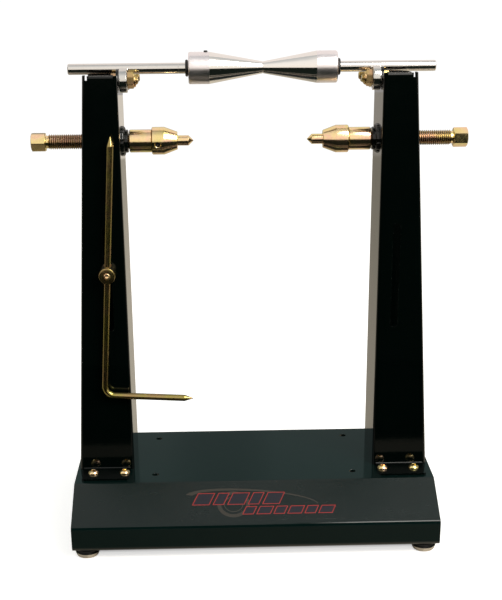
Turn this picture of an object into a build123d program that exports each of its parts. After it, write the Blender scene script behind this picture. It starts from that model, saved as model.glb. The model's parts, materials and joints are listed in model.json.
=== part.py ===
from build123d import *
import os
from math import atan2, radians, sqrt, tan

# Wheel balancing and truing stand: a folded base with two folded uprights, a balance
# shaft running on four ball bearings, two truing adjusters and a bent rod pointer.
# Millimetres. +Z is up, -Y is the front, +X is the right, and the origin is on the floor
# under the middle of the stand.

os.makedirs("parts", exist_ok=True)


def write_part(part, name):
    """Label a finished part and write its STEP file."""
    part.label = name
    export_step(part, f"parts/{name}.step")


def write_copies(piece, places, name):
    """Write one file that holds a copy of the piece at each place."""
    with BuildPart() as copies:
        with Locations(*places):
            add(piece.part)
    write_part(copies.part, name)


def four_corners(x, y, z=0.0):
    """The points (+-x, +-y) at height z."""
    return [(corner_x, corner_y, z) for corner_x in (-x, x) for corner_y in (-y, y)]


# ---------------------------------------------------------------------------
# Shared dimensions
# ---------------------------------------------------------------------------
sheet = 2.0               # sheet steel thickness of base and uprights
overcut = 0.01            # how far a turning cut reaches past an end face

# folded base
base_w = 358.0            # length along X
base_bottom_z = 10.4      # underside of the return flanges
apron_y = 116.5           # half depth over the aprons
apron_top_z = 35.5
deck_y = 68.5             # half depth of the flat deck
deck_z = 62.0             # top of the deck
foot_x, foot_y = 165.7, 100.0        # levelling glides

# folded uprights, given for the right-hand one
web_x = 121.2             # inner face of the web
web_outer_x = web_x + sheet
half_depth = 34.55        # half depth over the flanges
foot_screw_xs = (130.2, 161.5)
foot_screw_y = 47.5
foot_hole_r = 3.3

# balance shaft and its carrier bearings (608 size)
shaft_z, shaft_d, shaft_l, shaft_x = 451.7, 10.0, 342.9, 2.5
bearing_od, bearing_w = 22.0, 7.0
bearing_y = 13.0          # half spacing of each bearing pair
bearing_gap = 0.01        # clearance under the shaft
bearing_drop = sqrt((shaft_d / 2 + bearing_od / 2 + bearing_gap) ** 2 - bearing_y ** 2)
bearing_z = shaft_z - bearing_drop
bearing_x = 113.4         # inner side face of the bearings
bearing_outer_x = bearing_x + bearing_w

# truing adjusters
adjuster_z = 385.6
thread_d = 14.0
boss_d = 21.4

# M8 hexagons of bolts, nuts and glide stems
m8_hex_r = 6.5            # half the width across flats
turn_r, turn_clear_r, turn_depth = 6.6, 8.0, 0.8      # turned-off hexagon corners

# ---------------------------------------------------------------------------
# Folded base: deck, two slopes, two aprons, two return flanges
# ---------------------------------------------------------------------------
return_y = 84.0           # inner edge of the return flanges
base_bend = 3.0           # inner bend radius
slope_angle = atan2(deck_z - apron_top_z, apron_y - deck_y)
# how far the inner skin's corners shift along the deck and down the apron
deck_inset = sheet * tan(slope_angle / 2)
apron_inset = sheet * tan(radians(45) - slope_angle / 2)
deck_hole_x, deck_hole_y, deck_hole_r = 99.3, 48.8, 3.3
glide_hole_r = 4.4
hole_cut_l = 3 * sheet

with BuildPart() as base_shell:
    with BuildSketch(Plane.YZ) as base_outer:
        with BuildLine():
            Polyline(
                (-apron_y, base_bottom_z), (-apron_y, apron_top_z), (-deck_y, deck_z),
                (deck_y, deck_z), (apron_y, apron_top_z), (apron_y, base_bottom_z),
                close=True,
            )
        make_face()
        fillet(base_outer.vertices(), radius=base_bend + sheet)
    extrude(amount=base_w / 2, both=True)
    # the same outline moved in by one sheet thickness
    with BuildSketch(Plane.YZ) as base_inner:
        with BuildLine():
            Polyline(
                (-apron_y + sheet, base_bottom_z + sheet),
                (-apron_y + sheet, apron_top_z - apron_inset),
                (-deck_y + deck_inset, deck_z - sheet),
                (deck_y - deck_inset, deck_z - sheet),
                (apron_y - sheet, apron_top_z - apron_inset),
                (apron_y - sheet, base_bottom_z + sheet),
                close=True,
            )
        make_face()
        fillet(base_inner.vertices(), radius=base_bend)
    extrude(amount=base_w / 2, both=True, mode=Mode.SUBTRACT)
    # open underside between the two return flanges
    with BuildSketch(Plane.XY.offset(base_bottom_z)):
        Rectangle(base_w, 2 * return_y)
    extrude(amount=sheet * 1.5, mode=Mode.SUBTRACT)
    # deck holes and upright screw holes
    with Locations((0, 0, deck_z - sheet / 2)):
        with GridLocations(2 * deck_hole_x, 2 * deck_hole_y, 2, 2):
            Cylinder(deck_hole_r, hole_cut_l, mode=Mode.SUBTRACT)
        for screw_x in foot_screw_xs:
            with GridLocations(2 * screw_x, 2 * foot_screw_y, 2, 2):
                Cylinder(foot_hole_r, hole_cut_l, mode=Mode.SUBTRACT)
    # glide holes in the return flanges
    with Locations((0, 0, base_bottom_z + sheet / 2)):
        with GridLocations(2 * foot_x, 2 * foot_y, 2, 2):
            Cylinder(glide_hole_r, hole_cut_l, mode=Mode.SUBTRACT)
write_part(base_shell.part, "base_shell")

# thin plain label on the front slope
label_x, label_w, label_h, label_corner_r, label_t = 0.5, 174, 42, 2, 0.2
slope_plane = Plane(
    origin=(label_x, -(apron_y + deck_y) / 2, (deck_z + apron_top_z) / 2),
    x_dir=(1, 0, 0),
    z_dir=(0, -(deck_z - apron_top_z), apron_y - deck_y),
)
with BuildPart() as front_label:
    with BuildSketch(slope_plane):
        RectangleRounded(label_w, label_h, label_corner_r)
    extrude(amount=label_t)
write_part(front_label.part, "front_label")

# ---------------------------------------------------------------------------
# Folded upright (right hand), then its mirror image
# ---------------------------------------------------------------------------
flange_top_z = 448.4
flange_top_x, flange_foot_x = 152.9, 176.1     # outer edge of the flanges
taper = (flange_foot_x - flange_top_x) / (flange_top_z - deck_z)
lip_w, lip_lift = 10.0, 4.0
upright_bend = 1.0        # inner bend radius
long_fold_l = 300         # only the long folds have edges above this length

# web top edge: a shallow dip between the flanges, with an ear at each bearing
dip_z, dip_y, dip_rim_y = 439.0, 27.5, 29.5
ear_r, ear_block_z, ear_block_h = 10.4, 436.0, 14.0

tab_x = 125.0             # where the tabs start, clear of the web's bend
top_tab_l, top_tab_depth, top_bend_room = 22.2, 14.0, 6.0
top_tab_outer_bend, top_tab_inner_bend = upright_bend + 1.0, 0.8
foot_tab_l, foot_tab_y, foot_bend_room = 47.4, 62.3, 8.0
tab_corner_r = 3.0
notch_x, notch_w, notch_cut_y, notch_h = 149.4, 2.0, 12.0, 3.8
slot_x, slot_w, slot_z0, slot_z1 = 138.2, 7.2, 208.3, 311.0
bolt_hole_r, boss_hole_gap = 4.2, 0.05

with BuildPart() as upright_right:
    # web with two rounded ears that carry the bearings
    with BuildSketch(Plane.YZ.offset(web_x)):
        with BuildLine():
            Polyline(
                (-half_depth, deck_z), (-half_depth, flange_top_z),
                (-dip_rim_y, flange_top_z), (-dip_y, dip_z),
                (dip_y, dip_z), (dip_rim_y, flange_top_z),
                (half_depth, flange_top_z), (half_depth, deck_z), close=True,
            )
        make_face()
        with Locations((-bearing_y, bearing_z), (bearing_y, bearing_z)):
            Circle(ear_r)
        with Locations((-bearing_y, ear_block_z), (bearing_y, ear_block_z)):
            Rectangle(2 * ear_r, ear_block_h)
    extrude(amount=sheet)
    # front and back flanges, narrow at the top and wide at the foot;
    # XZ offsets and extrusions run towards the front
    for flange_offset in (half_depth - sheet, -half_depth):
        with BuildSketch(Plane.XZ.offset(flange_offset)):
            with BuildLine():
                Polyline(
                    (web_x, deck_z), (flange_foot_x, deck_z),
                    (flange_top_x, flange_top_z), (web_x, flange_top_z), close=True,
                )
            make_face()
        extrude(amount=sheet)
    # shallow lips turned in along the outer edges
    for lip_offset in (half_depth - lip_w, -half_depth):
        with BuildSketch(Plane.XZ.offset(lip_offset)):
            with BuildLine():
                Polyline(
                    (flange_foot_x - sheet, deck_z + lip_lift),
                    (flange_foot_x - taper * lip_lift, deck_z + lip_lift),
                    (flange_top_x, flange_top_z), (flange_top_x - sheet, flange_top_z),
                    close=True,
                )
            make_face()
        extrude(amount=lip_w)
    # rounded bends along the four long folds
    outer_bends = [e for e in upright_right.edges()
                   if e.length > long_fold_l
                   and abs(abs(e.center().Y) - half_depth) < 0.01]
    fillet(outer_bends, radius=upright_bend + sheet)
    inner_bends = [e for e in upright_right.edges()
                   if e.length > long_fold_l
                   and abs(abs(e.center().Y) - (half_depth - sheet)) < 0.01]
    fillet(inner_bends, radius=upright_bend)
    # room for the bends of the top tabs and the foot tabs
    with Locations((tab_x + top_tab_l / 2, 0, flange_top_z)):
        Box(top_tab_l, 2 * half_depth + 2, 2 * top_bend_room, mode=Mode.SUBTRACT)
    with Locations((tab_x + foot_tab_l / 2, 0, deck_z)):
        Box(foot_tab_l, 2 * half_depth + 2, 2 * foot_bend_room, mode=Mode.SUBTRACT)
    for side in (-1, 1):
        outer_y = side * half_depth
        inner_y = side * (half_depth - sheet)
        # top tab bent inward over the channel
        top_tab_end_y = side * (half_depth - top_tab_depth)
        with BuildSketch(Plane.YZ.offset(tab_x)) as top_tab:
            with BuildLine():
                Polyline(
                    (outer_y, flange_top_z - top_bend_room), (outer_y, flange_top_z),
                    (top_tab_end_y, flange_top_z), (top_tab_end_y, flange_top_z - sheet),
                    (inner_y, flange_top_z - sheet),
                    (inner_y, flange_top_z - top_bend_room), close=True,
                )
            make_face()
            fillet([v for v in top_tab.vertices()
                    if abs(abs(v.Y) - flange_top_z) < 0.01
                    and abs(abs(v.X) - half_depth) < 0.01], radius=top_tab_outer_bend)
            fillet([v for v in top_tab.vertices()
                    if abs(v.Y - flange_top_z + sheet) < 0.01
                    and abs(abs(v.X) - half_depth + sheet) < 0.01],
                   radius=top_tab_inner_bend)
        extrude(amount=top_tab_l)
        # foot tab bent outward onto the deck
        with BuildSketch(Plane.YZ.offset(tab_x)) as foot_tab:
            with BuildLine():
                Polyline(
                    (inner_y, deck_z + foot_bend_room), (inner_y, deck_z),
                    (side * foot_tab_y, deck_z), (side * foot_tab_y, deck_z + sheet),
                    (outer_y, deck_z + sheet), (outer_y, deck_z + foot_bend_room),
                    close=True,
                )
            make_face()
            fillet([v for v in foot_tab.vertices()
                    if abs(v.Y - deck_z) < 0.01
                    and abs(abs(v.X) - half_depth + sheet) < 0.01],
                   radius=upright_bend + sheet)
            fillet([v for v in foot_tab.vertices()
                    if abs(v.Y - deck_z - sheet) < 0.01
                    and abs(abs(v.X) - half_depth) < 0.01], radius=upright_bend)
        extrude(amount=foot_tab_l)
    tab_corners = [e for e in upright_right.edges().filter_by(Axis.Z)
                   if abs(e.length - sheet) < 0.01
                   and (abs(abs(e.center().Y) - foot_tab_y) < 0.01
                        or abs(abs(e.center().Y) - half_depth + top_tab_depth) < 0.01)]
    fillet(tab_corners, radius=tab_corner_r)
    # corner relief notches between each top tab and its lip
    with Locations((notch_x, half_depth, flange_top_z), (notch_x, -half_depth, flange_top_z)):
        Box(notch_w, notch_cut_y, 2 * notch_h, mode=Mode.SUBTRACT)
    # pointer slot, in the front flange only
    with BuildSketch(Plane.XZ.offset(half_depth + 1)):
        with Locations((slot_x, (slot_z0 + slot_z1) / 2)):
            SlotOverall(slot_z1 - slot_z0, slot_w, rotation=90)
    extrude(amount=-sheet - 2, mode=Mode.SUBTRACT)
    # web holes: bearing bolts and the threaded boss
    with BuildSketch(Plane.YZ.offset(web_x - 1)):
        with Locations((-bearing_y, bearing_z), (bearing_y, bearing_z)):
            Circle(bolt_hole_r)
        with Locations((0, adjuster_z)):
            Circle(boss_d / 2 + boss_hole_gap)
    extrude(amount=sheet + 2, mode=Mode.SUBTRACT)
    # foot tab screw holes
    with Locations((0, 0, deck_z + sheet / 2)):
        with Locations(*[(x, y) for x in foot_screw_xs for y in (foot_screw_y, -foot_screw_y)]):
            Cylinder(foot_hole_r, hole_cut_l, mode=Mode.SUBTRACT)
write_part(upright_right.part, "upright_right")

with BuildPart() as upright_left:
    mirror(upright_right.part, about=Plane.YZ)
write_part(upright_left.part, "upright_left")

# ---------------------------------------------------------------------------
# Foot tab screws (button head M6) and the nuts under the deck
# ---------------------------------------------------------------------------
head_h, head_r, head_flat_r = 3.3, 5.25, 2.6
head_rim_h = 0.4
head_arc_mid = (4.45, 2.1)           # radius, height
shank_r, shank_l, shank_chamfer = 2.95, 14.0, 0.6
head_socket_r, head_socket_depth = 2.0, 2.0

with BuildPart() as foot_screw:
    with BuildSketch(Plane.XZ):
        with BuildLine():
            Line((0, 0), (0, head_h))
            Line((0, head_h), (head_flat_r, head_h))
            ThreePointArc((head_flat_r, head_h), head_arc_mid, (head_r, head_rim_h))
            Line((head_r, head_rim_h), (head_r, 0))
            Line((head_r, 0), (0, 0))
        make_face()
    revolve(axis=Axis.Z)
    with Locations((0, 0, 0)):
        Cylinder(shank_r, shank_l, align=(Align.CENTER, Align.CENTER, Align.MAX))
    chamfer(foot_screw.edges().filter_by(GeomType.CIRCLE).sort_by(Axis.Z)[0],
            length=shank_chamfer)
    with BuildSketch(Plane.XY.offset(head_h)):
        RegularPolygon(head_socket_r, 6, major_radius=False)
    extrude(amount=-head_socket_depth, mode=Mode.SUBTRACT)

nut_flange_r, nut_flange_h = 6.9, 1.2
m6_hex_r, nut_hex_h = 5.0, 4.8
m6_thread_r = 3.0

with BuildPart() as flange_nut:
    Cylinder(nut_flange_r, nut_flange_h, align=(Align.CENTER, Align.CENTER, Align.MAX))
    with BuildSketch(Plane.XY.offset(-nut_flange_h)):
        RegularPolygon(m6_hex_r, 6, major_radius=False)
    extrude(amount=-nut_hex_h)
    with Locations((0, 0, -(nut_flange_h + nut_hex_h) / 2)):
        Cylinder(m6_thread_r, nut_flange_h + nut_hex_h + 2, mode=Mode.SUBTRACT)

for piece, seat_z, name in (
    (foot_screw, deck_z + sheet, "foot_tab_screws"),
    (flange_nut, deck_z - sheet, "foot_tab_nuts"),
):
    places = [p for x in foot_screw_xs for p in four_corners(x, foot_screw_y, seat_z)]
    write_copies(piece, places, name)

# ---------------------------------------------------------------------------
# Bearing bolts, shims and lock nuts.  Local +Z points away from the middle of
# the stand and local z is the distance from it.
# ---------------------------------------------------------------------------
bolt_places = [
    Location((0, y, bearing_z), (0, turn, 0))
    for turn in (90, -90) for y in (-bearing_y, bearing_y)
]

bolt_head_h, bolt_r, bolt_end_x, bolt_chamfer = 5.3, 4.0, 103.2, 0.9
bolt_head_x = web_outer_x + bolt_head_h

with BuildPart() as bearing_bolt:
    with BuildSketch(Plane.XY.offset(web_outer_x)):
        RegularPolygon(m8_hex_r, 6, major_radius=False, rotation=30)
    extrude(amount=bolt_head_h)
    with BuildSketch(Plane.XY.offset(web_outer_x)):
        Circle(bolt_r)
    extrude(amount=-(web_outer_x - bolt_end_x))
    chamfer(bearing_bolt.edges().filter_by(GeomType.CIRCLE).sort_by(Axis.Z)[0],
            length=bolt_chamfer)
    # turned corners on the outer end of the hexagon
    with BuildSketch(Plane.XZ):
        with BuildLine():
            Polyline((turn_r, bolt_head_x + overcut), (turn_clear_r, bolt_head_x + overcut),
                     (turn_clear_r, bolt_head_x - turn_depth), close=True)
        make_face()
    revolve(axis=Axis.Z, mode=Mode.SUBTRACT)
write_copies(bearing_bolt, bolt_places, "bearing_bolts")

shim_r, shim_bore_r = 5.9, 4.03

with BuildPart() as bearing_shim:
    with BuildSketch(Plane.XY.offset(bearing_outer_x)):
        Circle(shim_r)
        Circle(shim_bore_r, mode=Mode.SUBTRACT)
    extrude(amount=web_x - bearing_outer_x)
write_copies(bearing_shim, bolt_places, "bearing_shims")

lock_hex_h, lock_collar_h, lock_collar_r, lock_collar_fillet = 6.2, 1.8, 6.1, 1.0
lock_bore_r = 4.02
lock_hex_end_x = bearing_x - lock_hex_h
ring_seat_x, ring_seat_r, ring_seat_l = bearing_x - 7.4, 5.2, 1.6
ring_gap, nylon_ring_l = 0.05, 1.5

with BuildPart() as lock_nut:
    with BuildSketch(Plane.XY.offset(bearing_x)):
        RegularPolygon(m8_hex_r, 6, major_radius=False)
    extrude(amount=-lock_hex_h)
    with BuildSketch(Plane.XY.offset(lock_hex_end_x)):
        Circle(lock_collar_r)
    extrude(amount=-lock_collar_h)
    fillet(lock_nut.edges().filter_by(GeomType.CIRCLE).sort_by(Axis.Z)[0],
           radius=lock_collar_fillet)
    with BuildSketch(Plane.XY.offset(bearing_x + 1)):
        Circle(lock_bore_r)
    extrude(amount=-12, mode=Mode.SUBTRACT)
    # seat of the nylon ring
    with BuildSketch(Plane.XY.offset(ring_seat_x)):
        Circle(ring_seat_r)
    extrude(amount=ring_seat_l, mode=Mode.SUBTRACT)
    # turned corners on both hex ends
    with BuildSketch(Plane.XZ):
        with BuildLine():
            Polyline((turn_r, bearing_x + overcut), (turn_clear_r, bearing_x + overcut),
                     (turn_clear_r, bearing_x - turn_depth), close=True)
        make_face()
        with BuildLine():
            Polyline((turn_r, lock_hex_end_x - overcut),
                     (turn_clear_r, lock_hex_end_x - overcut),
                     (turn_clear_r, lock_hex_end_x + turn_depth), close=True)
        make_face()
    revolve(axis=Axis.Z, mode=Mode.SUBTRACT)
write_copies(lock_nut, bolt_places, "bearing_lock_nuts")

with BuildPart() as nylon_ring:
    with BuildSketch(Plane.XY.offset(ring_seat_x + ring_gap)):
        Circle(ring_seat_r - ring_gap)
        Circle(lock_bore_r, mode=Mode.SUBTRACT)
    extrude(amount=nylon_ring_l)
write_copies(nylon_ring, bolt_places, "lock_nut_rings")

# ---------------------------------------------------------------------------
# Ball bearings.  Local Z is the bearing axis, local origin its middle.
# ---------------------------------------------------------------------------
bearing_mid_x = bearing_x + bearing_w / 2
bearing_places = {
    f"{end}_{hand}": Location((side * bearing_mid_x, y, bearing_z), (0, side * 90, 0))
    for hand, side in (("right", 1), ("left", -1))
    for end, y in (("front", -bearing_y), ("back", bearing_y))
}

ball_pitch_r, ball_r, ball_count = 7.5, 1.98, 7
race_r = 2.06             # groove radius around the balls
inner_ring_mid_r, inner_ring_t, inner_ring_chamfer = 5.05, 2.04, 0.25
shield_mid_r, shield_w, shield_z, shield_t = 7.85, 3.2, 2.95, 0.4

with BuildPart() as inner_ring:
    with BuildSketch(Plane.XZ):
        with Locations((inner_ring_mid_r, 0)):
            Rectangle(inner_ring_t, bearing_w)
        with Locations((ball_pitch_r, 0)):
            Circle(race_r, mode=Mode.SUBTRACT)
    revolve(axis=Axis.Z)
    # bore edges on both side faces
    chamfer(
        inner_ring.edges().filter_by(GeomType.CIRCLE).filter_by(
            lambda e: abs(abs(e.center().Z) - bearing_w / 2) < 0.01 and e.radius < 5),
        length=inner_ring_chamfer,
    )
write_copies(inner_ring, bearing_places.values(), "bearing_inner_rings")

with BuildPart() as ball_set:
    with PolarLocations(ball_pitch_r, ball_count):
        Sphere(ball_r)
write_copies(ball_set, bearing_places.values(), "bearing_balls")

# radius, height along the bearing axis; stepped inside for the shields
outer_ring_profile = [
    (8.8, -2.7), (9.5, -2.7), (9.5, -3.5), (10.7, -3.5), (11.0, -3.2),
    (11.0, 3.2), (10.7, 3.5), (9.5, 3.5), (9.5, 2.7), (8.8, 2.7),
]

with BuildPart() as outer_ring:
    with BuildSketch(Plane.XZ):
        with BuildLine():
            Polyline(*outer_ring_profile, close=True)
        make_face()
        with Locations((ball_pitch_r, 0)):
            Circle(race_r, mode=Mode.SUBTRACT)
    revolve(axis=Axis.Z)

with BuildPart() as shield_pair:
    with BuildSketch(Plane.XZ):
        with Locations((shield_mid_r, shield_z), (shield_mid_r, -shield_z)):
            Rectangle(shield_w, shield_t)
    revolve(axis=Axis.Z)

for corner, place in bearing_places.items():
    write_copies(outer_ring, [place], f"bearing_ring_{corner}")
    write_copies(shield_pair, [place], f"bearing_shields_{corner}")

# ---------------------------------------------------------------------------
# Balance shaft, two sliding cones, their set screws and O-ring stops
# ---------------------------------------------------------------------------
shaft_chamfer = 0.8
bore_r = shaft_d / 2 + 0.03          # sliding fit on the shaft

with BuildPart() as balance_shaft:
    with Locations(Location((shaft_x, 0, shaft_z), (0, 90, 0))):
        Cylinder(shaft_d / 2, shaft_l)
    chamfer(balance_shaft.edges().filter_by(GeomType.CIRCLE), length=shaft_chamfer)
write_part(balance_shaft.part, "balance_shaft")

cone_d, cone_cyl_l, cone_tip_d, cone_chamfer = 29.0, 19.5, 10.9, 0.8
cone_tip_z = 69.05
cone_left_x, cone_right_x = -57.0, 81.6        # outer faces of the cones
cone_screw_z, cone_hole_r = 16.3, 2.02
cone_screw_r, cone_screw_l, cone_screw_chamfer = 2.0, 10.6, 0.35
cone_socket_r, cone_socket_depth = 1.0, 2.5

# local +Z runs from the outer face of the cone to its narrow end
with BuildPart() as cone:
    with BuildSketch(Plane.XZ):
        with BuildLine():
            Polyline(
                (bore_r, 0), (cone_d / 2 - cone_chamfer, 0), (cone_d / 2, cone_chamfer),
                (cone_d / 2, cone_cyl_l), (cone_tip_d / 2, cone_tip_z),
                (bore_r, cone_tip_z), close=True,
            )
        make_face()
    revolve(axis=Axis.Z)
    # radial hole of the set screw, towards local +X
    with BuildSketch(Plane.YZ):
        with Locations((0, cone_screw_z)):
            Circle(cone_hole_r)
    extrude(amount=cone_d, mode=Mode.SUBTRACT)

with BuildPart() as cone_screw:
    with Locations((0, 0, bore_r)):
        Cylinder(cone_screw_r, cone_screw_l, align=(Align.CENTER, Align.CENTER, Align.MIN))
    chamfer(cone_screw.edges().filter_by(GeomType.CIRCLE), length=cone_screw_chamfer)
    with BuildSketch(Plane.XY.offset(bore_r + cone_screw_l)):
        RegularPolygon(cone_socket_r, 6, major_radius=False)
    extrude(amount=-cone_socket_depth, mode=Mode.SUBTRACT)

# the left screw stands on top, the right one is turned to the back
cone_left_place = (
    Location((cone_left_x, 0, shaft_z), (0, 90, 0)) * Location((0, 0, 0), (0, 0, 180))
)
cone_right_place = (
    Location((cone_right_x, 0, shaft_z), (0, -90, 0)) * Location((0, 0, 0), (0, 0, 110))
)
write_copies(cone, [cone_left_place], "cone_left")
write_copies(cone, [cone_right_place], "cone_right")
write_copies(cone_screw, [Location((cone_left_x + cone_screw_z, 0, shaft_z))],
             "cone_screw_left")
write_copies(cone_screw, [cone_right_place * Location((0, 0, cone_screw_z), (0, 90, 0))],
             "cone_screw_right")

oring_r, oring_gap = 1.35, 0.25      # section radius, gap to the cone
with BuildPart() as oring:
    Torus(bore_r + oring_r, oring_r)

for name, oring_x in (
    ("cone_oring_left", cone_left_x - oring_r - oring_gap),
    ("cone_oring_right", cone_right_x + oring_r + oring_gap),
):
    write_copies(oring, [Location((oring_x, 0, shaft_z), (0, 90, 0))], name)

# ---------------------------------------------------------------------------
# Truing adjusters.  Local +Z points away from the middle of the stand and local
# z is the distance from it.
# ---------------------------------------------------------------------------
adjuster_right = Location((0, 0, adjuster_z), (0, 90, 0))
adjuster_left = Location((0, 0, adjuster_z), (0, -90, 0))

boss_x0, boss_x1, boss_bore_gap, boss_chamfer = 115.3, 124.2, 0.04, 0.8

with BuildPart() as boss:
    with BuildSketch(Plane.XY.offset(boss_x0)):
        Circle(boss_d / 2)
        Circle(thread_d / 2 + boss_bore_gap, mode=Mode.SUBTRACT)
    extrude(amount=boss_x1 - boss_x0)
    # rim of the end nearest the middle
    chamfer(boss.edges().filter_by(GeomType.CIRCLE).filter_by(lambda e: e.radius > 10)
            .sort_by(Axis.Z)[0], length=boss_chamfer)
write_copies(boss, [adjuster_left, adjuster_right], "threaded_bosses")

weld_inner_r, weld_outer_r, weld_l = boss_d / 2 + 0.02, 14.2, 3.8
weld_mid_r = 12.4

with BuildPart() as weld:
    with BuildSketch(Plane.XZ):
        with BuildLine():
            Line((weld_inner_r, web_x), (weld_outer_r, web_x))
            ThreePointArc((weld_outer_r, web_x), (weld_mid_r, web_x - weld_l / 2),
                          (weld_inner_r, web_x - weld_l))
            Line((weld_inner_r, web_x - weld_l), (weld_inner_r, web_x))
        make_face()
    revolve(axis=Axis.Z)
write_copies(weld, [adjuster_left, adjuster_right], "boss_welds")

tip_x, tip_r = 54.0, 0.3
pin_x, pin_r = 58.6, 4.75            # pin starts behind the point
nose_x = 69.0                        # narrow end of the sliding cone
shoulder_x, neck_x, hex_x, end_x = 93.2, 191.2, 193.4, 207.2
groove_depth = 0.25
thread_r = thread_d / 2
thread_chamfer = 1.0                 # also the depth of the neck
hex_r = 8.0                          # half the width across flats
hex_clear_r = hex_r + 2

with BuildPart() as spindle:
    # point, grooved pin, threaded length, neck
    with BuildSketch(Plane.XZ):
        with BuildLine():
            Polyline(
                (0, tip_x), (tip_r, tip_x), (pin_r, pin_x), (pin_r, nose_x + 0.1),
                (pin_r - groove_depth, nose_x + 0.35), (pin_r - groove_depth, nose_x + 0.9),
                (pin_r, nose_x + 1.15), (pin_r, shoulder_x),
                (thread_r - thread_chamfer, shoulder_x),
                (thread_r, shoulder_x + thread_chamfer),
                (thread_r, neck_x - thread_chamfer), (thread_r - thread_chamfer, neck_x),
                (thread_r - thread_chamfer, hex_x), (0, hex_x), close=True,
            )
        make_face()
    revolve(axis=Axis.Z)
    with BuildSketch(Plane.XY.offset(hex_x)):
        RegularPolygon(hex_r, 6, major_radius=False)
    extrude(amount=end_x - hex_x)
    # turned corners on both ends of the hexagon
    with BuildSketch(Plane.XZ):
        with BuildLine():
            Polyline((hex_r, end_x + overcut), (hex_clear_r, end_x + overcut),
                     (hex_clear_r, end_x - 1.6), (hex_r + 1.3, end_x - 1.0), close=True)
        make_face()
        with BuildLine():
            Polyline((hex_r + 0.3, hex_x - overcut), (hex_clear_r, hex_x - overcut),
                     (hex_clear_r, hex_x + 0.8), close=True)
        make_face()
    revolve(axis=Axis.Z, mode=Mode.SUBTRACT)

# the left spindle shows a corner to the front, the right one a flat
write_copies(spindle, [adjuster_left * Location((0, 0, 0), (0, 0, 30))],
             "adjuster_spindle_left")
write_copies(spindle, [adjuster_right], "adjuster_spindle_right")

sleeve_x0, sleeve_x1 = shoulder_x + 0.05, 114.3
sleeve_r, sleeve_bore_gap, sleeve_chamfer = 10.6, 0.02, 0.6

with BuildPart() as sleeve:
    with BuildSketch(Plane.XY.offset(sleeve_x0)):
        Circle(sleeve_r)
    extrude(amount=sleeve_x1 - sleeve_x0)
    chamfer(sleeve.edges().filter_by(GeomType.CIRCLE), length=sleeve_chamfer)
    with BuildSketch(Plane.XY.offset(shoulder_x)):
        Circle(thread_r + sleeve_bore_gap)
    extrude(amount=30, mode=Mode.SUBTRACT)
write_copies(sleeve, [adjuster_left], "adjuster_sleeve_left")
write_copies(sleeve, [adjuster_right], "adjuster_sleeve_right")

nose_r, collar_r, collar_l, collar_chamfer = 8.25, 12.8, 11.8, 0.7
pin_bore_r = pin_r + 0.03            # sliding fit on the pin
collar_screw_x = shoulder_x - collar_l / 2
collar_hole_r = 2.52
collar_screw_r, collar_screw_l, collar_screw_chamfer = 2.5, 6.4, 0.4
collar_socket_r, collar_socket_depth = 1.25, 2.6

# sliding cone: parallel collar, then the taper that centres the axle hole
with BuildPart() as taper_cone:
    with BuildSketch(Plane.XZ):
        with BuildLine():
            Polyline(
                (pin_bore_r, nose_x), (nose_r, nose_x),
                (collar_r, shoulder_x - collar_l), (collar_r, shoulder_x - collar_chamfer),
                (collar_r - collar_chamfer, shoulder_x), (pin_bore_r, shoulder_x),
                close=True,
            )
        make_face()
    revolve(axis=Axis.Z)
    # radial hole of the set screw, towards local +X
    with BuildSketch(Plane.YZ):
        with Locations((0, collar_screw_x)):
            Circle(collar_hole_r)
    extrude(amount=2 * collar_r, mode=Mode.SUBTRACT)

with BuildPart() as taper_screw:
    with Locations((0, 0, pin_bore_r)):
        Cylinder(collar_screw_r, collar_screw_l,
                 align=(Align.CENTER, Align.CENTER, Align.MIN))
    chamfer(taper_screw.edges().filter_by(GeomType.CIRCLE), length=collar_screw_chamfer)
    with BuildSketch(Plane.XY.offset(pin_bore_r + collar_screw_l)):
        RegularPolygon(collar_socket_r, 6, major_radius=False)
    extrude(amount=-collar_socket_depth, mode=Mode.SUBTRACT)

# the left set screw faces forward and a little down, the right one back and a little up
for hand, place in (
    ("left", adjuster_left * Location((0, 0, 0), (0, 0, -100))),
    ("right", adjuster_right * Location((0, 0, 0), (0, 0, 100))),
):
    write_copies(taper_cone, [place], f"adjuster_cone_{hand}")
    write_copies(taper_screw, [place * Location((0, 0, collar_screw_x), (0, 90, 0))],
                 f"adjuster_screw_{hand}")

# ---------------------------------------------------------------------------
# Pointer on the left upright: bent rod, clamp, lock screw, slot stud, washers
# and nut.  XZ offsets are distances in front of the middle.
# ---------------------------------------------------------------------------
rod_r = 3.175             # 1/4 in rod
rod_y = -41.5
rod_top = Vector(-129.2, rod_y, 395.8)
rod_corner = Vector(-146.48, rod_y, 145.1)
rod_tip = Vector(-59.4, rod_y, 140.2)
rod_bend_r = 9.5          # centre line radius
point_l, point_end_r = 8.6, 0.25

rod_up = (rod_top - rod_corner).normalized()
arm_dir = (rod_tip - rod_corner).normalized()
upper_point_base = rod_top - rod_up * point_l
arm_point_base = rod_tip - arm_dir * point_l

with BuildPart() as pointer_rod:
    with BuildLine() as rod_path:
        FilletPolyline(upper_point_base, rod_corner, arm_point_base, radius=rod_bend_r)
    with BuildSketch(Plane(origin=upper_point_base, z_dir=rod_path.line % 0)):
        Circle(rod_r)
    sweep(path=rod_path.line)
    for point_base, point_dir in ((upper_point_base, rod_up), (arm_point_base, arm_dir)):
        with Locations(Plane(origin=point_base, z_dir=point_dir)):
            Cone(rod_r, point_end_r, point_l, align=(Align.CENTER, Align.CENTER, Align.MIN))
write_part(pointer_rod.part, "pointer_rod")

clamp_x, clamp_z, clamp_r = -138.1, 266.4, 7.8
clamp_front_y, clamp_back_y = -48.0, -35.6
clamp_fillet, clamp_chamfer = 0.9, 0.5
rod_bore_gap, rod_cut_l = 0.04, 40
lock_hole_r, stud_hole_r, stud_hole_depth = 3.02, 3.0, 2.0

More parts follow.
